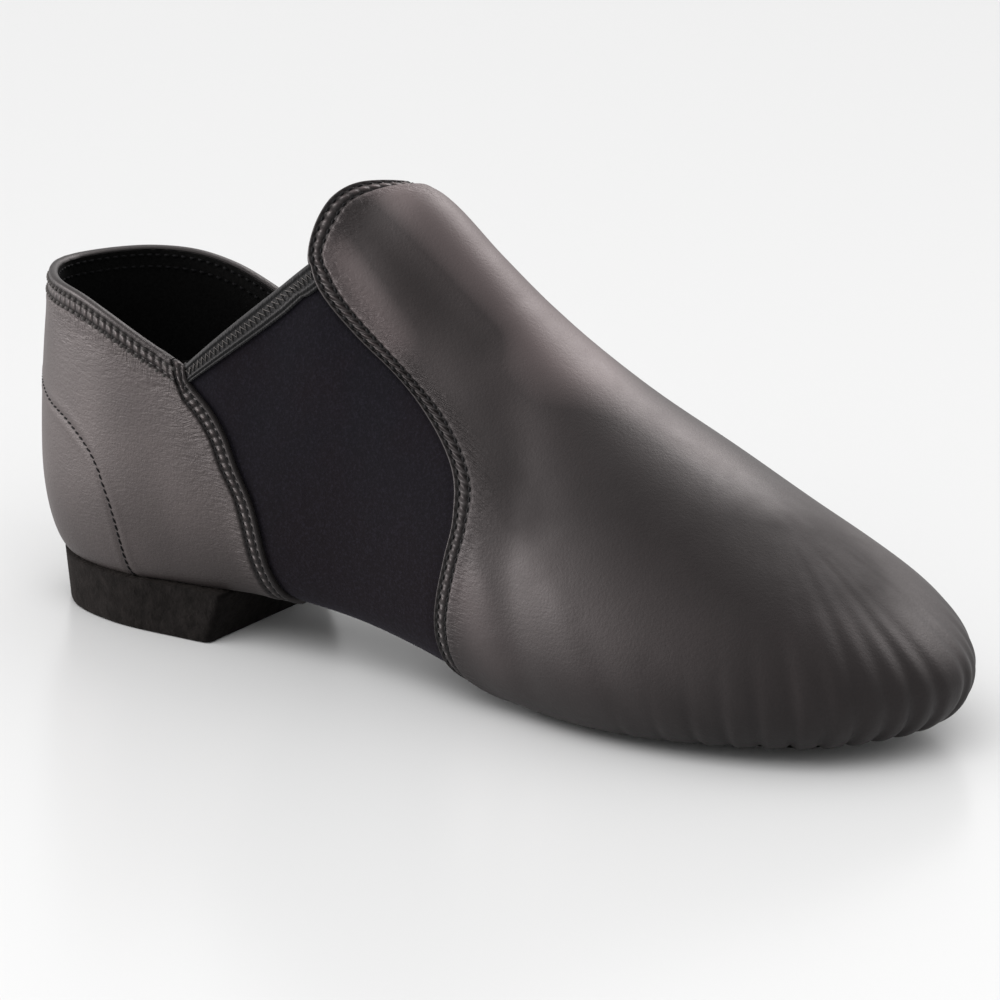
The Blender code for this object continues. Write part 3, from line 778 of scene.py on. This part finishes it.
def strokes(table, points):
    """For each stroke its value, how far along it each point lies, and 1 on it to 0 off it."""
    for side, a, b, wide, value in table:
        ends = skin(side, np.array([a[0], b[0]]) * LENGTH, np.array([a[1], b[1]]))
        along = ends[1] - ends[0]
        share = np.clip((points - ends[0]) @ along / (along @ along), 0, 1)
        off = np.linalg.norm(points - ends[0] - share[:, None] * along, axis=1)
        yield value, share, hump(off / (wide * MM))


def crease_lift(points):
    return sum(deep * MM * on * np.sin(math.pi * (0.15 + 0.7 * share))
               for deep, share, on in strokes(CREASES, points))


# Painted highlight (+): paler leather along the crest and on a few lit spots. Painted shade (-):
# darker and rougher leather in the trough, beside the seam and over the toe. Ends as in the
# creases, half width in mm and strength
PAINTED_LIGHT_AND_SHADE = (
    (-1, (0.400, 1.90), (0.600, 1.90), 13.0, 1.0),
    (-1, (0.600, 1.90), (0.910, 1.80), 11.0, 0.45),
    (-1, (0.385, 1.10), (0.450, 0.88), 5.0, 0.45),
    (-1, (0.570, 0.45), (0.600, 0.30), 8.0, 0.25),
    (-1, (0.395, 1.45), (0.530, 0.98), 6.0, -0.90),
    (-1, (0.545, 0.82), (0.610, 0.70), 8.0, -0.90),
    (-1, (0.690, 0.85), (0.870, 0.85), 20.0, -0.85),
    (-1, (0.905, 1.15), (0.990, 0.95), 15.0, -0.90),
    (1, (0.930, 1.35), (0.990, 1.10), 12.0, -0.50),
)


# Painted highlight (+) and painted shade (-) at each point, from the table above
def rubbed(points):
    return np.clip(sum(value * on for value, _, on in strokes(PAINTED_LIGHT_AND_SHADE, points)), -1, 1)


# The vamp's edge from the outer feather line (0) over the tongue (2) to the inner one (4)
VAMP_T = np.linspace(0, 4, 1201)


def vamp_row(distance, t):
    side = np.where(t <= 2, -1, 1)
    up = np.clip(np.where(t <= 2, t, 4 - t), 0, 2)
    station = vamp_edge(up, side) + distance * MM * vamp_scale(up, side)
    return skin(side, station, up), outward(side, station, up)


VAMP_WALK = walked(vamp_row(np.mean(VAMP_SEAM_ROWS), VAMP_T)[0])


# Millimetres from the edge of the columns over the bands
VAMP_NEAR = (0.0, 0.15, 0.35, 0.55, 0.75, 1.0, 1.25, 1.55, 1.9, 2.3, 2.7, 3.1, 3.45, 3.75,
             4.05, 4.4, 4.8, 5.2, 5.7, 6.3, 7.0, 8.0, 9.2, 10.6, 12.0)
QUARTER_NEAR = (0.0, 0.15, 0.35, 0.55, 0.75, 1.0, 1.3, 1.6, 1.9, 2.3, 2.7, 3.1, 3.4, 3.7, 4.1,
                4.6, 5.1, 5.7, 6.4, 7.2, 8.2, 9.5)
UNDERFOOT = -1.0            # stands for up on the margin turned in below
NO_SEAM = 40.0              # millimetres, far from any seam


def band_row(edge, scale, near, end, far, band):
    """A row from its folded edge on: stations, millimetres from the edge and heights."""
    gap = np.concatenate([TURN_OUT, near])
    spots = edge + math.copysign(1, end - edge) * gap * MM * scale
    spots = np.concatenate([spots, spots[-1] + (end - spots[-1]) * far])
    last = len(gap) - 1
    gap = np.concatenate([gap, near[-1] + np.abs(spots[last + 1:] - spots[last]) / MM])
    return spots, gap, np.concatenate([TURN_HIGH, profile(band, gap[len(TURN):])])


def row_points(side, spots, up, inward):
    return skin(side, spots, up) if inward is None else underside(side, spots, inward * MM)


def sheet(name, shape, base, core, lift, material, **attributes):
    """Lifted sheet from a grid; folded borders take their normals from the core beside them."""
    rows, columns = shape
    r0, r1, c0, c1 = core
    quads = grid_quads(rows, columns)
    inside = quads.reshape(rows - 1, columns - 1, 4)[r0:r1, c0:c1].reshape(-1, 4)
    first, number, faces = weld(base, inside)
    normals = face_normals(base[first], faces)[number]
    inverted = np.sum(normals[:, 1] * np.sign(base[:, 1])) < 0
    if inverted:
        normals = -normals
    near_row = np.clip(np.arange(rows), r0, r1)
    near_column = np.clip(np.arange(columns), c0, c1)
    normals = normals.reshape(rows, columns, 3)[near_row][:, near_column].reshape(-1, 3)
    first, number, faces = weld(base, quads)
    if inverted:
        faces = [face[::-1] for face in faces]
    return mesh_piece(name, (base + normals * lift[:, None])[first], faces, material,
                      **{key: values[first] for key, values in attributes.items()})


def vamp_piece():
    ups = levels((0, WIDEST, 1, 2), fine((34, 60, 54)))
    far = np.sin(quarter_turn(fine(210)))[1:]
    half = [(0.0, inward) for inward in (14.0, 10.0, 6.0, 3.0, 1.2)] + [(up, None) for up in ups]
    grids, rows = [], []
    for side, part in ((-1, half), (1, half[::-1][1:])):
        for up, inward in part:
            spots, gap, lift = band_row(vamp_edge(up, side), vamp_scale(up, side), VAMP_NEAR,
                                        LENGTH, far, VAMP_BAND)
            grids.append(row_points(side, spots, up, inward))
            walk = np.interp(up if side < 0 else 4 - up, VAMP_T, VAMP_WALK)
            if inward is not None:
                up, lift = UNDERFOOT, np.minimum(lift, 0)
            rows.append(np.broadcast_arrays(lift, side, spots, up, gap, walk))
    # Both halves meet in the same points at the toe
    for i in range(len(half) - 1):
        grids[len(half) + i][-1] = grids[len(half) - 2 - i][-1]
    shape = len(grids), len(grids[0])
    base = np.concatenate(grids)
    lift, side, station, up, gap, walk = (np.concatenate(a) for a in zip(*rows))
    extra = crease_lift(base) * np.clip((gap - 3) / 6, 0, 1)
    extra += pleat_lift(side, station, up) * np.where(up < 0, 0.5, 1.0)
    beside = hump(np.maximum(gap - 5, 0) / 5) * (gap > 4.3) * np.clip(up, 0, 1)
    return sheet("vamp", shape, base, (0, shape[0] - 1, len(TURN), shape[1] - 1), lift + extra,
                 vamp_leather, seam_near=beside, band_dist=gap, band_walk=walk,
                 rubbed=rubbed(base))


# Quarter round the heel

# Counter's stitch line: millimetres from the back of the heel, up
COUNTER = ((0.0, 0.650), (8.0, 0.625), (15.0, 0.590), (22.8, 0.551), (30.8, 0.472), (35.4, 0.371),
           (37.7, 0.303), (38.9, 0.213), (39.1, 0.079), (39.3, 0.0))
OFF_CENTRE = 0.4 * MM        # normals are taken this far from where both sides meet


def counter_line(t):
    """Stations and ups of the counter's stitch line, t from the heel's back (0) down (1)."""
    knots = np.linspace(0, 1, len(COUNTER))
    return (smooth(knots, column(COUNTER, 0), t) * MM,
            np.clip(smooth(knots, column(COUNTER, 1), t), 0, 1))


def counter_row(side, t):
    station, up = counter_line(t)
    return (skin(side, station, up),
            outward(side, np.maximum(station, OFF_CENTRE), np.maximum(up, 0.01)))


QUARTER_T = np.linspace(0, 1, 401)


def quarter_row(side, distance, t):
    up = np.clip(t, 0, 1)
    station = quarter_edge(up) - distance * MM * quarter_scale(up)
    return skin(side, station, up), outward(side, station, np.minimum(up, 0.99))


QUARTER_WALK = {side: walked(quarter_row(side, np.mean(QUARTER_SEAM_ROWS), QUARTER_T)[0])
                for side in (-1, 1)}

# The collar from the outer notch (-) round the back of the heel (0) to the inner one (+)
HEM_T = np.linspace(-1, 1, 601)


def hem_row(distance, t):
    side = np.where(t < 0, -1, 1)
    station = np.minimum(NOTCH_AT * t**2, NOTCH_AT)
    top = skin(side, station, 1.0)
    up = crossing(0.5, 1.0, lambda up: np.linalg.norm(skin(side, station, up) - top, axis=-1)
                  > distance * MM, 22)
    return skin(side, station, up), outward(side, np.maximum(station, OFF_CENTRE), up)


HEM_WALK = walked(hem_row(np.mean(HEM_SEAM_ROWS), HEM_T)[0])


def hem_walk(side, station):
    return np.interp(side * np.sqrt(np.clip(station / NOTCH_AT, 0, 1)), HEM_T, HEM_WALK)


def quarter_piece():
    ups = levels((0, WIDEST, 0.80, 1.0), fine((34, 34, 50)))
    far = 1 - np.cos(quarter_turn(fine(110)))[1:]
    under = [(0.0, inward, None) for inward in (16.0, 10.0, 5.0, 2.0)]
    top_row = len(under) + len(ups) - 1
    rows = []
    for up, inward, turn in (under + [(up, None, None) for up in ups]
                             + [(1.0, None, turn) for turn in TURN_OUT[::-1]]):
        spots, gap, lift = band_row(quarter_edge(up), quarter_scale(up), QUARTER_NEAR, 0.0,
                                    far, QUARTER_BAND)
        mark, halves = up, []
        if inward is not None:
            mark, lift = UNDERFOOT, np.minimum(lift, 0)
        for side in (-1, 1):
            points = row_points(side, spots, up, inward)
            if turn is not None:
                points = points - unit(points - skin(side, spots, 0.99)) * turn * MM
            walk = np.interp(up, QUARTER_T, QUARTER_WALK[side])
            halves.append([points, *np.broadcast_arrays(lift, side, spots, mark, gap, walk)])
        rows.append([np.concatenate([a, b[::-1][1:]]) for a, b in zip(*halves)])
    grid, lift, side, station, up, gap, walk = (np.stack(a) for a in zip(*rows))
    shape = grid.shape[:2]
    steps = np.linalg.norm(np.diff(grid, axis=0), axis=2) / MM
    top_gap = np.zeros(shape)
    top_gap[:top_row] = np.cumsum(steps[:top_row][::-1], axis=0)[::-1]
    hem = profile(HEM, top_gap) * np.clip((gap - 2.2) / 2.2, 0, 1)
    lift[len(under):top_row + 1] += hem[len(under):top_row + 1]
    lift[top_row + 1:] = np.minimum(lift[top_row + 1:], TURN_HIGH[::-1, None])
    base = grid.reshape(-1, 3)
    lift, side, station, up, gap, walk, top_gap = (
        a.reshape(-1) for a in (lift, side, station, up, gap, walk, top_gap))
    # A groove along the counter's stitch line, the leather inside it a little proud
    line = np.concatenate([skin(s, *counter_line(np.linspace(0, 1, 160))) for s in (-1, 1)])
    blocks = np.array_split(base, len(base) // 4000 + 1)
    off = np.concatenate([np.sqrt(((block[:, None] - line[None])**2).sum(2)).min(1)
                          for block in blocks]) / MM
    lift = lift + (-0.22 * hump(off / 0.6) + 0.14 * hump((off - 1.7) / 1.0)) * MM
    # Folds that run back from the front band
    high = base[:, 2] / MM
    waves = (np.sin(high * 2.3 + 0.7 * np.sin(station / MM * 0.6))
             + 0.7 * np.sin(high * 3.7 + 1.3 + 0.5 * np.sin(station / MM * 0.45)))
    reach = hump((gap - 5.5) / 7.0) * np.clip((gap - 4.0) / 1.5, 0, 1) * np.clip(up, 0, 1)
    lift += 0.06 * MM * waves * reach
    beside = np.maximum(hump(np.maximum(gap - 5, 0) / 10.0) * (gap > 4.0),
                        0.8 * hump(np.maximum(top_gap - 7, 0) / 6.0) * (top_gap > 6))
    return sheet("quarter", shape, base, (0, top_row, len(TURN), shape[1] - 1 - len(TURN)), lift,
                 quarter_leather, seam_near=beside * np.clip(up, 0, 1),
                 band_dist=np.where(up < 0, NO_SEAM, gap), band_walk=walk,
                 hem_dist=np.where(gap > 3.6, top_gap, NO_SEAM), hem_walk=hem_walk(side, station))


# Stretch gore, one length that passes under the arch from edge to edge

GORE_TUCK = 1.6 * MM         # how far it runs in under the leather


def gore_piece():
    ups = levels((0, WIDEST, 1), (18, 40))
    share = np.linspace(0, 1, 44)
    grids, lifts = [], []
    for side in (-1, 1):
        rows = ([(up, None) for up in ups[::-1]]
                + [(0.0, inward) for inward in (2.0, 5.0, 9.0, 14.0, 1000.0)])
        for up, inward in rows if side < 0 else rows[::-1][1:]:
            start, end = quarter_edge(up) - GORE_TUCK, vamp_edge(up) + GORE_TUCK
            spots = start + (end - start) * share
            grids.append(row_points(side, spots, up, inward))
            edge = np.minimum(spots - start, end - spots) / MM
            lifts.append((0.25 * np.sin(math.pi * share) * np.sin(math.pi * min(up, 1.0)) - 0.95
                          - 0.30 * hump((edge - 1.2) / 1.6)) * MM)
    points = np.concatenate(grids)
    first, _, faces = weld(points, grid_quads(len(grids), len(share), flip=True))
    points, lift = points[first], np.concatenate(lifts)[first]
    return mesh_piece("gore", points + face_normals(points, faces) * lift[:, None], faces,
                      gore_cloth)


# Elastic strips over the gore's top edge

# Distance below the edge and height over the skin in millimetres, outer leg first
STRIP = (
    (5.55, -0.95), (5.60, -0.55), (5.40, -0.22), (5.10, -0.18), (4.85, -0.40), (4.70, -0.50),
    (4.50, -0.30), (4.25, -0.06), (3.95, -0.06), (3.75, -0.26), (3.55, -0.30), (2.9, -0.26),
    (2.2, -0.24), (1.5, -0.26), (0.9, -0.30), (0.7, -0.26), (0.5, -0.05), (0.15, -0.02),
    (-0.25, -0.10), (-0.60, -0.45), (-0.75, -1.2), (-0.75, -2.2), (-0.45, -2.9), (0.3, -3.10),
    (2.5, -3.10), (5.4, -3.05), (5.5, -2.7),
)
STRIP_WIDTH = 5.6 * MM


def strip_lanes(side, share):
    """Edge points, downward directions, normals and widths along the gore's top edge."""
    start, end = NOTCH_AT - 0.6 * MM, TONGUE_AT + 1.5 * MM
    station = start + (end - start) * share
    top = skin(side, np.minimum(station, TONGUE_AT - 0.01 * MM), 1.0)
    low_start, low_end = quarter_edge(HEM_UP) - 1.2 * MM, vamp_edge(HEM_UP) + 1.6 * MM
    down = skin(side, low_start + (low_end - low_start) * share, HEM_UP) - top
    width = np.linalg.norm(down, axis=1, keepdims=True)
    normal = outward(side, np.clip(station, NOTCH_AT + 2 * MM, TONGUE_AT - 2 * MM), 0.97)
    return top, down / width, normal, np.minimum(width[:, 0] / STRIP_WIDTH, 1.0)


def strip_piece(side, name):
    share = np.linspace(0, 1, 120)
    top, down, normal, squeeze = strip_lanes(side, share)
    tuck = -0.55 * hump(np.minimum(share, 1 - share) * 40.0 / 1.5)
    lines = []
    for below, high in STRIP:
        reach = below * MM * np.where(below > 0, squeeze, 1.0)
        rise = high + np.where(high > -1, tuck, 0.0)
        lines.append(top + down * reach[:, None] + normal * (rise * MM)[:, None])
    quads = grid_quads(len(lines), len(share), flip=side < 0)
    return mesh_piece(name, np.concatenate(lines), quads.tolist(), strip_cloth)


# Lining, the shoe's inside

LINING_DEPTH = 2.05 * MM


def lining_piece():
    ups = levels((0, WIDEST, 0.995), (10, 16))
    back = 1 - np.cos(quarter_turn(26))
    front = np.sin(quarter_turn(34))
    points, quads = [], []
    for side in (-1, 1):
        grids = [[skin(side, vamp_edge(up) * back, up) for up in ups], []]
        for up in np.concatenate([ups, np.linspace(1.0, 2, 16)]):
            start = vamp_edge(up, side) + GAP
            grids[1].append(skin(side, start + (LENGTH - start) * front, up))
        for grid in grids:
            quads.append(grid_quads(len(grid), len(grid[0]), side > 0) + sum(map(len, points)))
            points.extend(grid)
    points = np.concatenate(points)
    first, _, faces = weld(points, np.concatenate(quads))
    points = points[first]
    return mesh_piece("lining", points - face_normals(points, faces) * LINING_DEPTH, faces,
                      lining_cloth)


# Heel block

HEEL_CORNER = 1.6 * MM


def heel_outline(level, inset):
    """Closed outline of the heel block at a level from 0 (floor) to 1 (seat)."""
    breast = HEEL_BREAST_FOOT + (HEEL_BREAST_TOP - HEEL_BREAST_FOOT) * level
    shares = 1 - np.cos(quarter_turn(60))
    turn = quarter_turn(7)
    halves = []
    for side in (-1, 1):
        foot, ux, uy, length, _ = ray(side, breast * shares, breast)
        cut = HEEL_SIDE_INSET + (HEEL_BACK_INSET - HEEL_SIDE_INSET) * np.clip(-ux, 0, 1)**2
        out = length - cut + HEEL_FLARE * level - inset
        flank = np.stack([np.minimum(foot + ux * out, breast - inset), uy * out], axis=1)
        corner = np.stack([breast - inset - HEEL_CORNER * (1 - np.sin(turn)),
                           flank[-1, 1] - side * HEEL_CORNER * (1 - np.cos(turn))], axis=1)
        halves.append(np.concatenate([flank[flank[:, 0] < breast - inset - HEEL_CORNER], corner]))
    ring = np.concatenate([halves[0], halves[1][::-1][:-1], halves[0][:1]])
    walk = walked(ring)
    even = np.linspace(0, walk[-1], 241)[:-1]
    return np.stack([np.interp(even, walk, ring[:, k]) for k in range(2)], axis=1)


# Level, inset in mm, and height in mm where it isn't a share of the seat's
HEEL_RINGS = ((0.0, 3.0, 0.0), (0.0, 0.9, 0.0), (0.01, 0.45, 0.10), (0.03, 0.15, 0.30),
              (0.07, 0.0, 0.75), *((level, 0.0, None) for level in np.linspace(0.12, 0.97, 14)),
              (0.99, 0.25, None), (1.0, 1.0, None), (1.0, 5.0, None))


def heel_piece():
    rings = []
    for level, inset, z in HEEL_RINGS:
        flat = heel_outline(level, inset * MM)
        seat = (feather_height(flat[:, 0]) - GAP) * level
        rings.append(np.column_stack([flat, seat if z is None else np.full(len(flat), z * MM)]))
    return mesh_piece("heel_block", np.concatenate(rings),
                      ring_faces(len(rings), len(rings[0]), caps=True), sole_suede)


# Stitching

def by_walk(row, keys, walk_of_keys, height, inside=False):
    """Row of places by walked distance, from a row by its own key; height in millimetres."""
    def walked_row(walks):
        places, normals = row(np.interp(walks, walk_of_keys, keys))
        if inside:
            normals = -normals
        return places + normals * height * MM, normals
    return walked_row


INNER_FACE = 2.15            # millimetres in from the skin


def height_of(table, distance):
    return float(profile(table, distance)) / MM


def stitching():
    dark, heavy = Stitches(), Stitches()
    for distance, shift in zip(VAMP_SEAM_ROWS, (0.0, 0.35)):
        row = by_walk(partial(vamp_row, distance), VAMP_T, VAMP_WALK,
                      height_of(VAMP_BAND, distance))
        walks = middles(VAMP_WALK[-1], VAMP_PITCH)[2:-2] + shift
        dark.add(row, walks, *VAMP_STITCH)
    keys = np.linspace(0, 1, 300)
    for side in (-1, 1):
        for distance, shift in zip(QUARTER_SEAM_ROWS, (0.0, 0.2)):
            row = by_walk(partial(quarter_row, side, distance), QUARTER_T, QUARTER_WALK[side],
                          height_of(QUARTER_BAND, distance))
            walks = middles(QUARTER_WALK[side][-1], QUARTER_PITCH)[2:] + shift
            dark.add(row, walks, *QUARTER_STITCH)
        row = partial(counter_row, side)
        walk = walked(row(keys)[0])
        dark.add(by_walk(row, keys, walk, -0.20), middles(walk[-1], COUNTER_PITCH),
                 *COUNTER_STITCH)
    for number, distance in enumerate(HEM_SEAM_ROWS):
        row = partial(hem_row, distance)
        walks = middles(HEM_WALK[-1], HEM_PITCH)[1:-1] + 0.4 * number
        heavy.add(by_walk(row, HEM_T, HEM_WALK, height_of(HEM, distance)), walks, *HEM_STITCH)
        dark.add(by_walk(row, HEM_T, HEM_WALK, INNER_FACE, inside=True), walks,
                 *INNER_HEM_STITCH)
    dark.piece("seam_stitches", black_thread)
    heavy.piece("collar_stitches", worn_thread)


def zigzag():
    share = np.linspace(0.03, 0.97, 61)
    points, faces = [], []
    for side in (-1, 1):
        top, down, normal, squeeze = strip_lanes(side, share)
        swing = np.where(np.arange(len(share)) % 2 == 0, 1.25, 3.05) * MM * squeeze
        spots = top + down * swing[:, None] + normal * (-0.16 * MM)
        spots, rings = tube(spots, normal, 0.20 * MM, 5)
        faces.extend([tuple(i + len(points) for i in face) for face in rings])
        points.extend(spots)
    mesh_piece("strip_zigzag", np.array(points), faces, pale_thread)


vamp = vamp_piece()
quarter = quarter_piece()
gore = gore_piece()
lining = lining_piece()
for piece in (vamp, quarter, gore, lining):
    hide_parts("upper")
for side, node in ((-1, "gore_binding_outer"), (1, "gore_binding_inner")):
    strip = strip_piece(side, "elastic_strip_outer" if side < 0 else "elastic_strip_inner")
    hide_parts(node)
heel = heel_piece()
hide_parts("heel")
stitching()
zigzag()
for name, material in (("insole", bed_cloth), ("forefoot_sole", sole_suede)):
    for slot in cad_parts[name].material_slots:
        slot.material = material


# Floor, light, camera

FLOOR = 6.0
mesh = bpy.data.meshes.new("floor")
mesh.from_pydata([(-FLOOR, -FLOOR, 0), (FLOOR, -FLOOR, 0), (FLOOR, FLOOR, 0), (-FLOOR, FLOOR, 0)],
                 [], [(0, 1, 2, 3)])
mesh.materials.append(Shader("pale_floor", (0.88, 0.88, 0.88), 0.24, 0.45).material)
floor = add_object("floor", mesh)

world = bpy.data.worlds.new("studio")
world.use_nodes = True
background = world.node_tree.nodes["Background"]
background.inputs["Color"].default_value = (1, 1, 1, 1)
background.inputs["Strength"].default_value = 0.80
bpy.context.scene.world = world


# The lamps that model the shoe leave the floor alone, and the wash lights the floor alone, so
# that the shadow stays faint
def only(name, state):
    group = bpy.data.collections.new(name)
    group.objects.link(floor)
    group.collection_objects[0].light_linking.link_state = state
    return group


OFF_THE_FLOOR = only("off_the_floor", "EXCLUDE")
ON_THE_FLOOR = only("on_the_floor", "INCLUDE")


def soft_box(name, place, aim, size, energy, color, lit):
    light = bpy.data.lights.new(name, "AREA")
    light.shape = "RECTANGLE"
    light.size, light.size_y = size
    light.energy = energy
    light.color = color
    lamp = add_object(name, light)
    lamp.location = place
    lamp.rotation_euler = (Vector(aim) - Vector(place)).to_track_quat("-Z", "Y").to_euler()
    lamp.light_linking.receiver_collection = lit


WARM = (1.0, 0.955, 0.945)
WHITE = (1.0, 1.0, 1.0)
for lamp in (
    ("upper_left", (-1.10, -0.70, 2.00), (0.0, 0.0, 0.05), (1.8, 1.5), 26.0),
    ("crest_side", (0.08, 1.41, 1.30), (0.03, 0.0, 0.06), (1.3, 0.7), 42.0),
    ("left_side", (-1.55, -0.80, 0.33), (-0.08, 0.0, 0.03), (0.95, 0.62), 58.0),
):
    soft_box(*lamp, WARM, OFF_THE_FLOOR)
soft_box("floor_wash", (0.6, -1.6, 2.4), (0.0, 0.3, 0.0), (3.6, 2.4), 46.0, WHITE, ON_THE_FLOOR)

CAMERA_AT = (797.3, -1050.93, 411.86)       # millimetres in the surface's frame
CAMERA_YAW, CAMERA_PITCH, CAMERA_ROLL = -0.5668, 0.2900, 0.0048
FOCAL_PIXELS = 5617.1                       # at 1000 pixels wide
SENSOR = 36.0

camera_data = bpy.data.cameras.new("camera")
camera_data.sensor_width = SENSOR
camera_data.lens = FOCAL_PIXELS / 1000.0 * SENSOR
camera_data.clip_start = 0.05
camera_data.clip_end = 50.0
camera = add_object("camera", camera_data)
turn = (Matrix.Rotation(-CAMERA_YAW, 4, "Z") @ Matrix.Rotation(math.pi / 2 - CAMERA_PITCH, 4, "X")
        @ Matrix.Rotation(CAMERA_ROLL, 4, "Z"))
place = Vector(CAMERA_AT) * MM + Vector(SHIFT)
camera.matrix_world = Matrix.Translation(place) @ turn
bpy.context.scene.camera = camera
bpy.context.scene.view_settings.view_transform = "Standard"
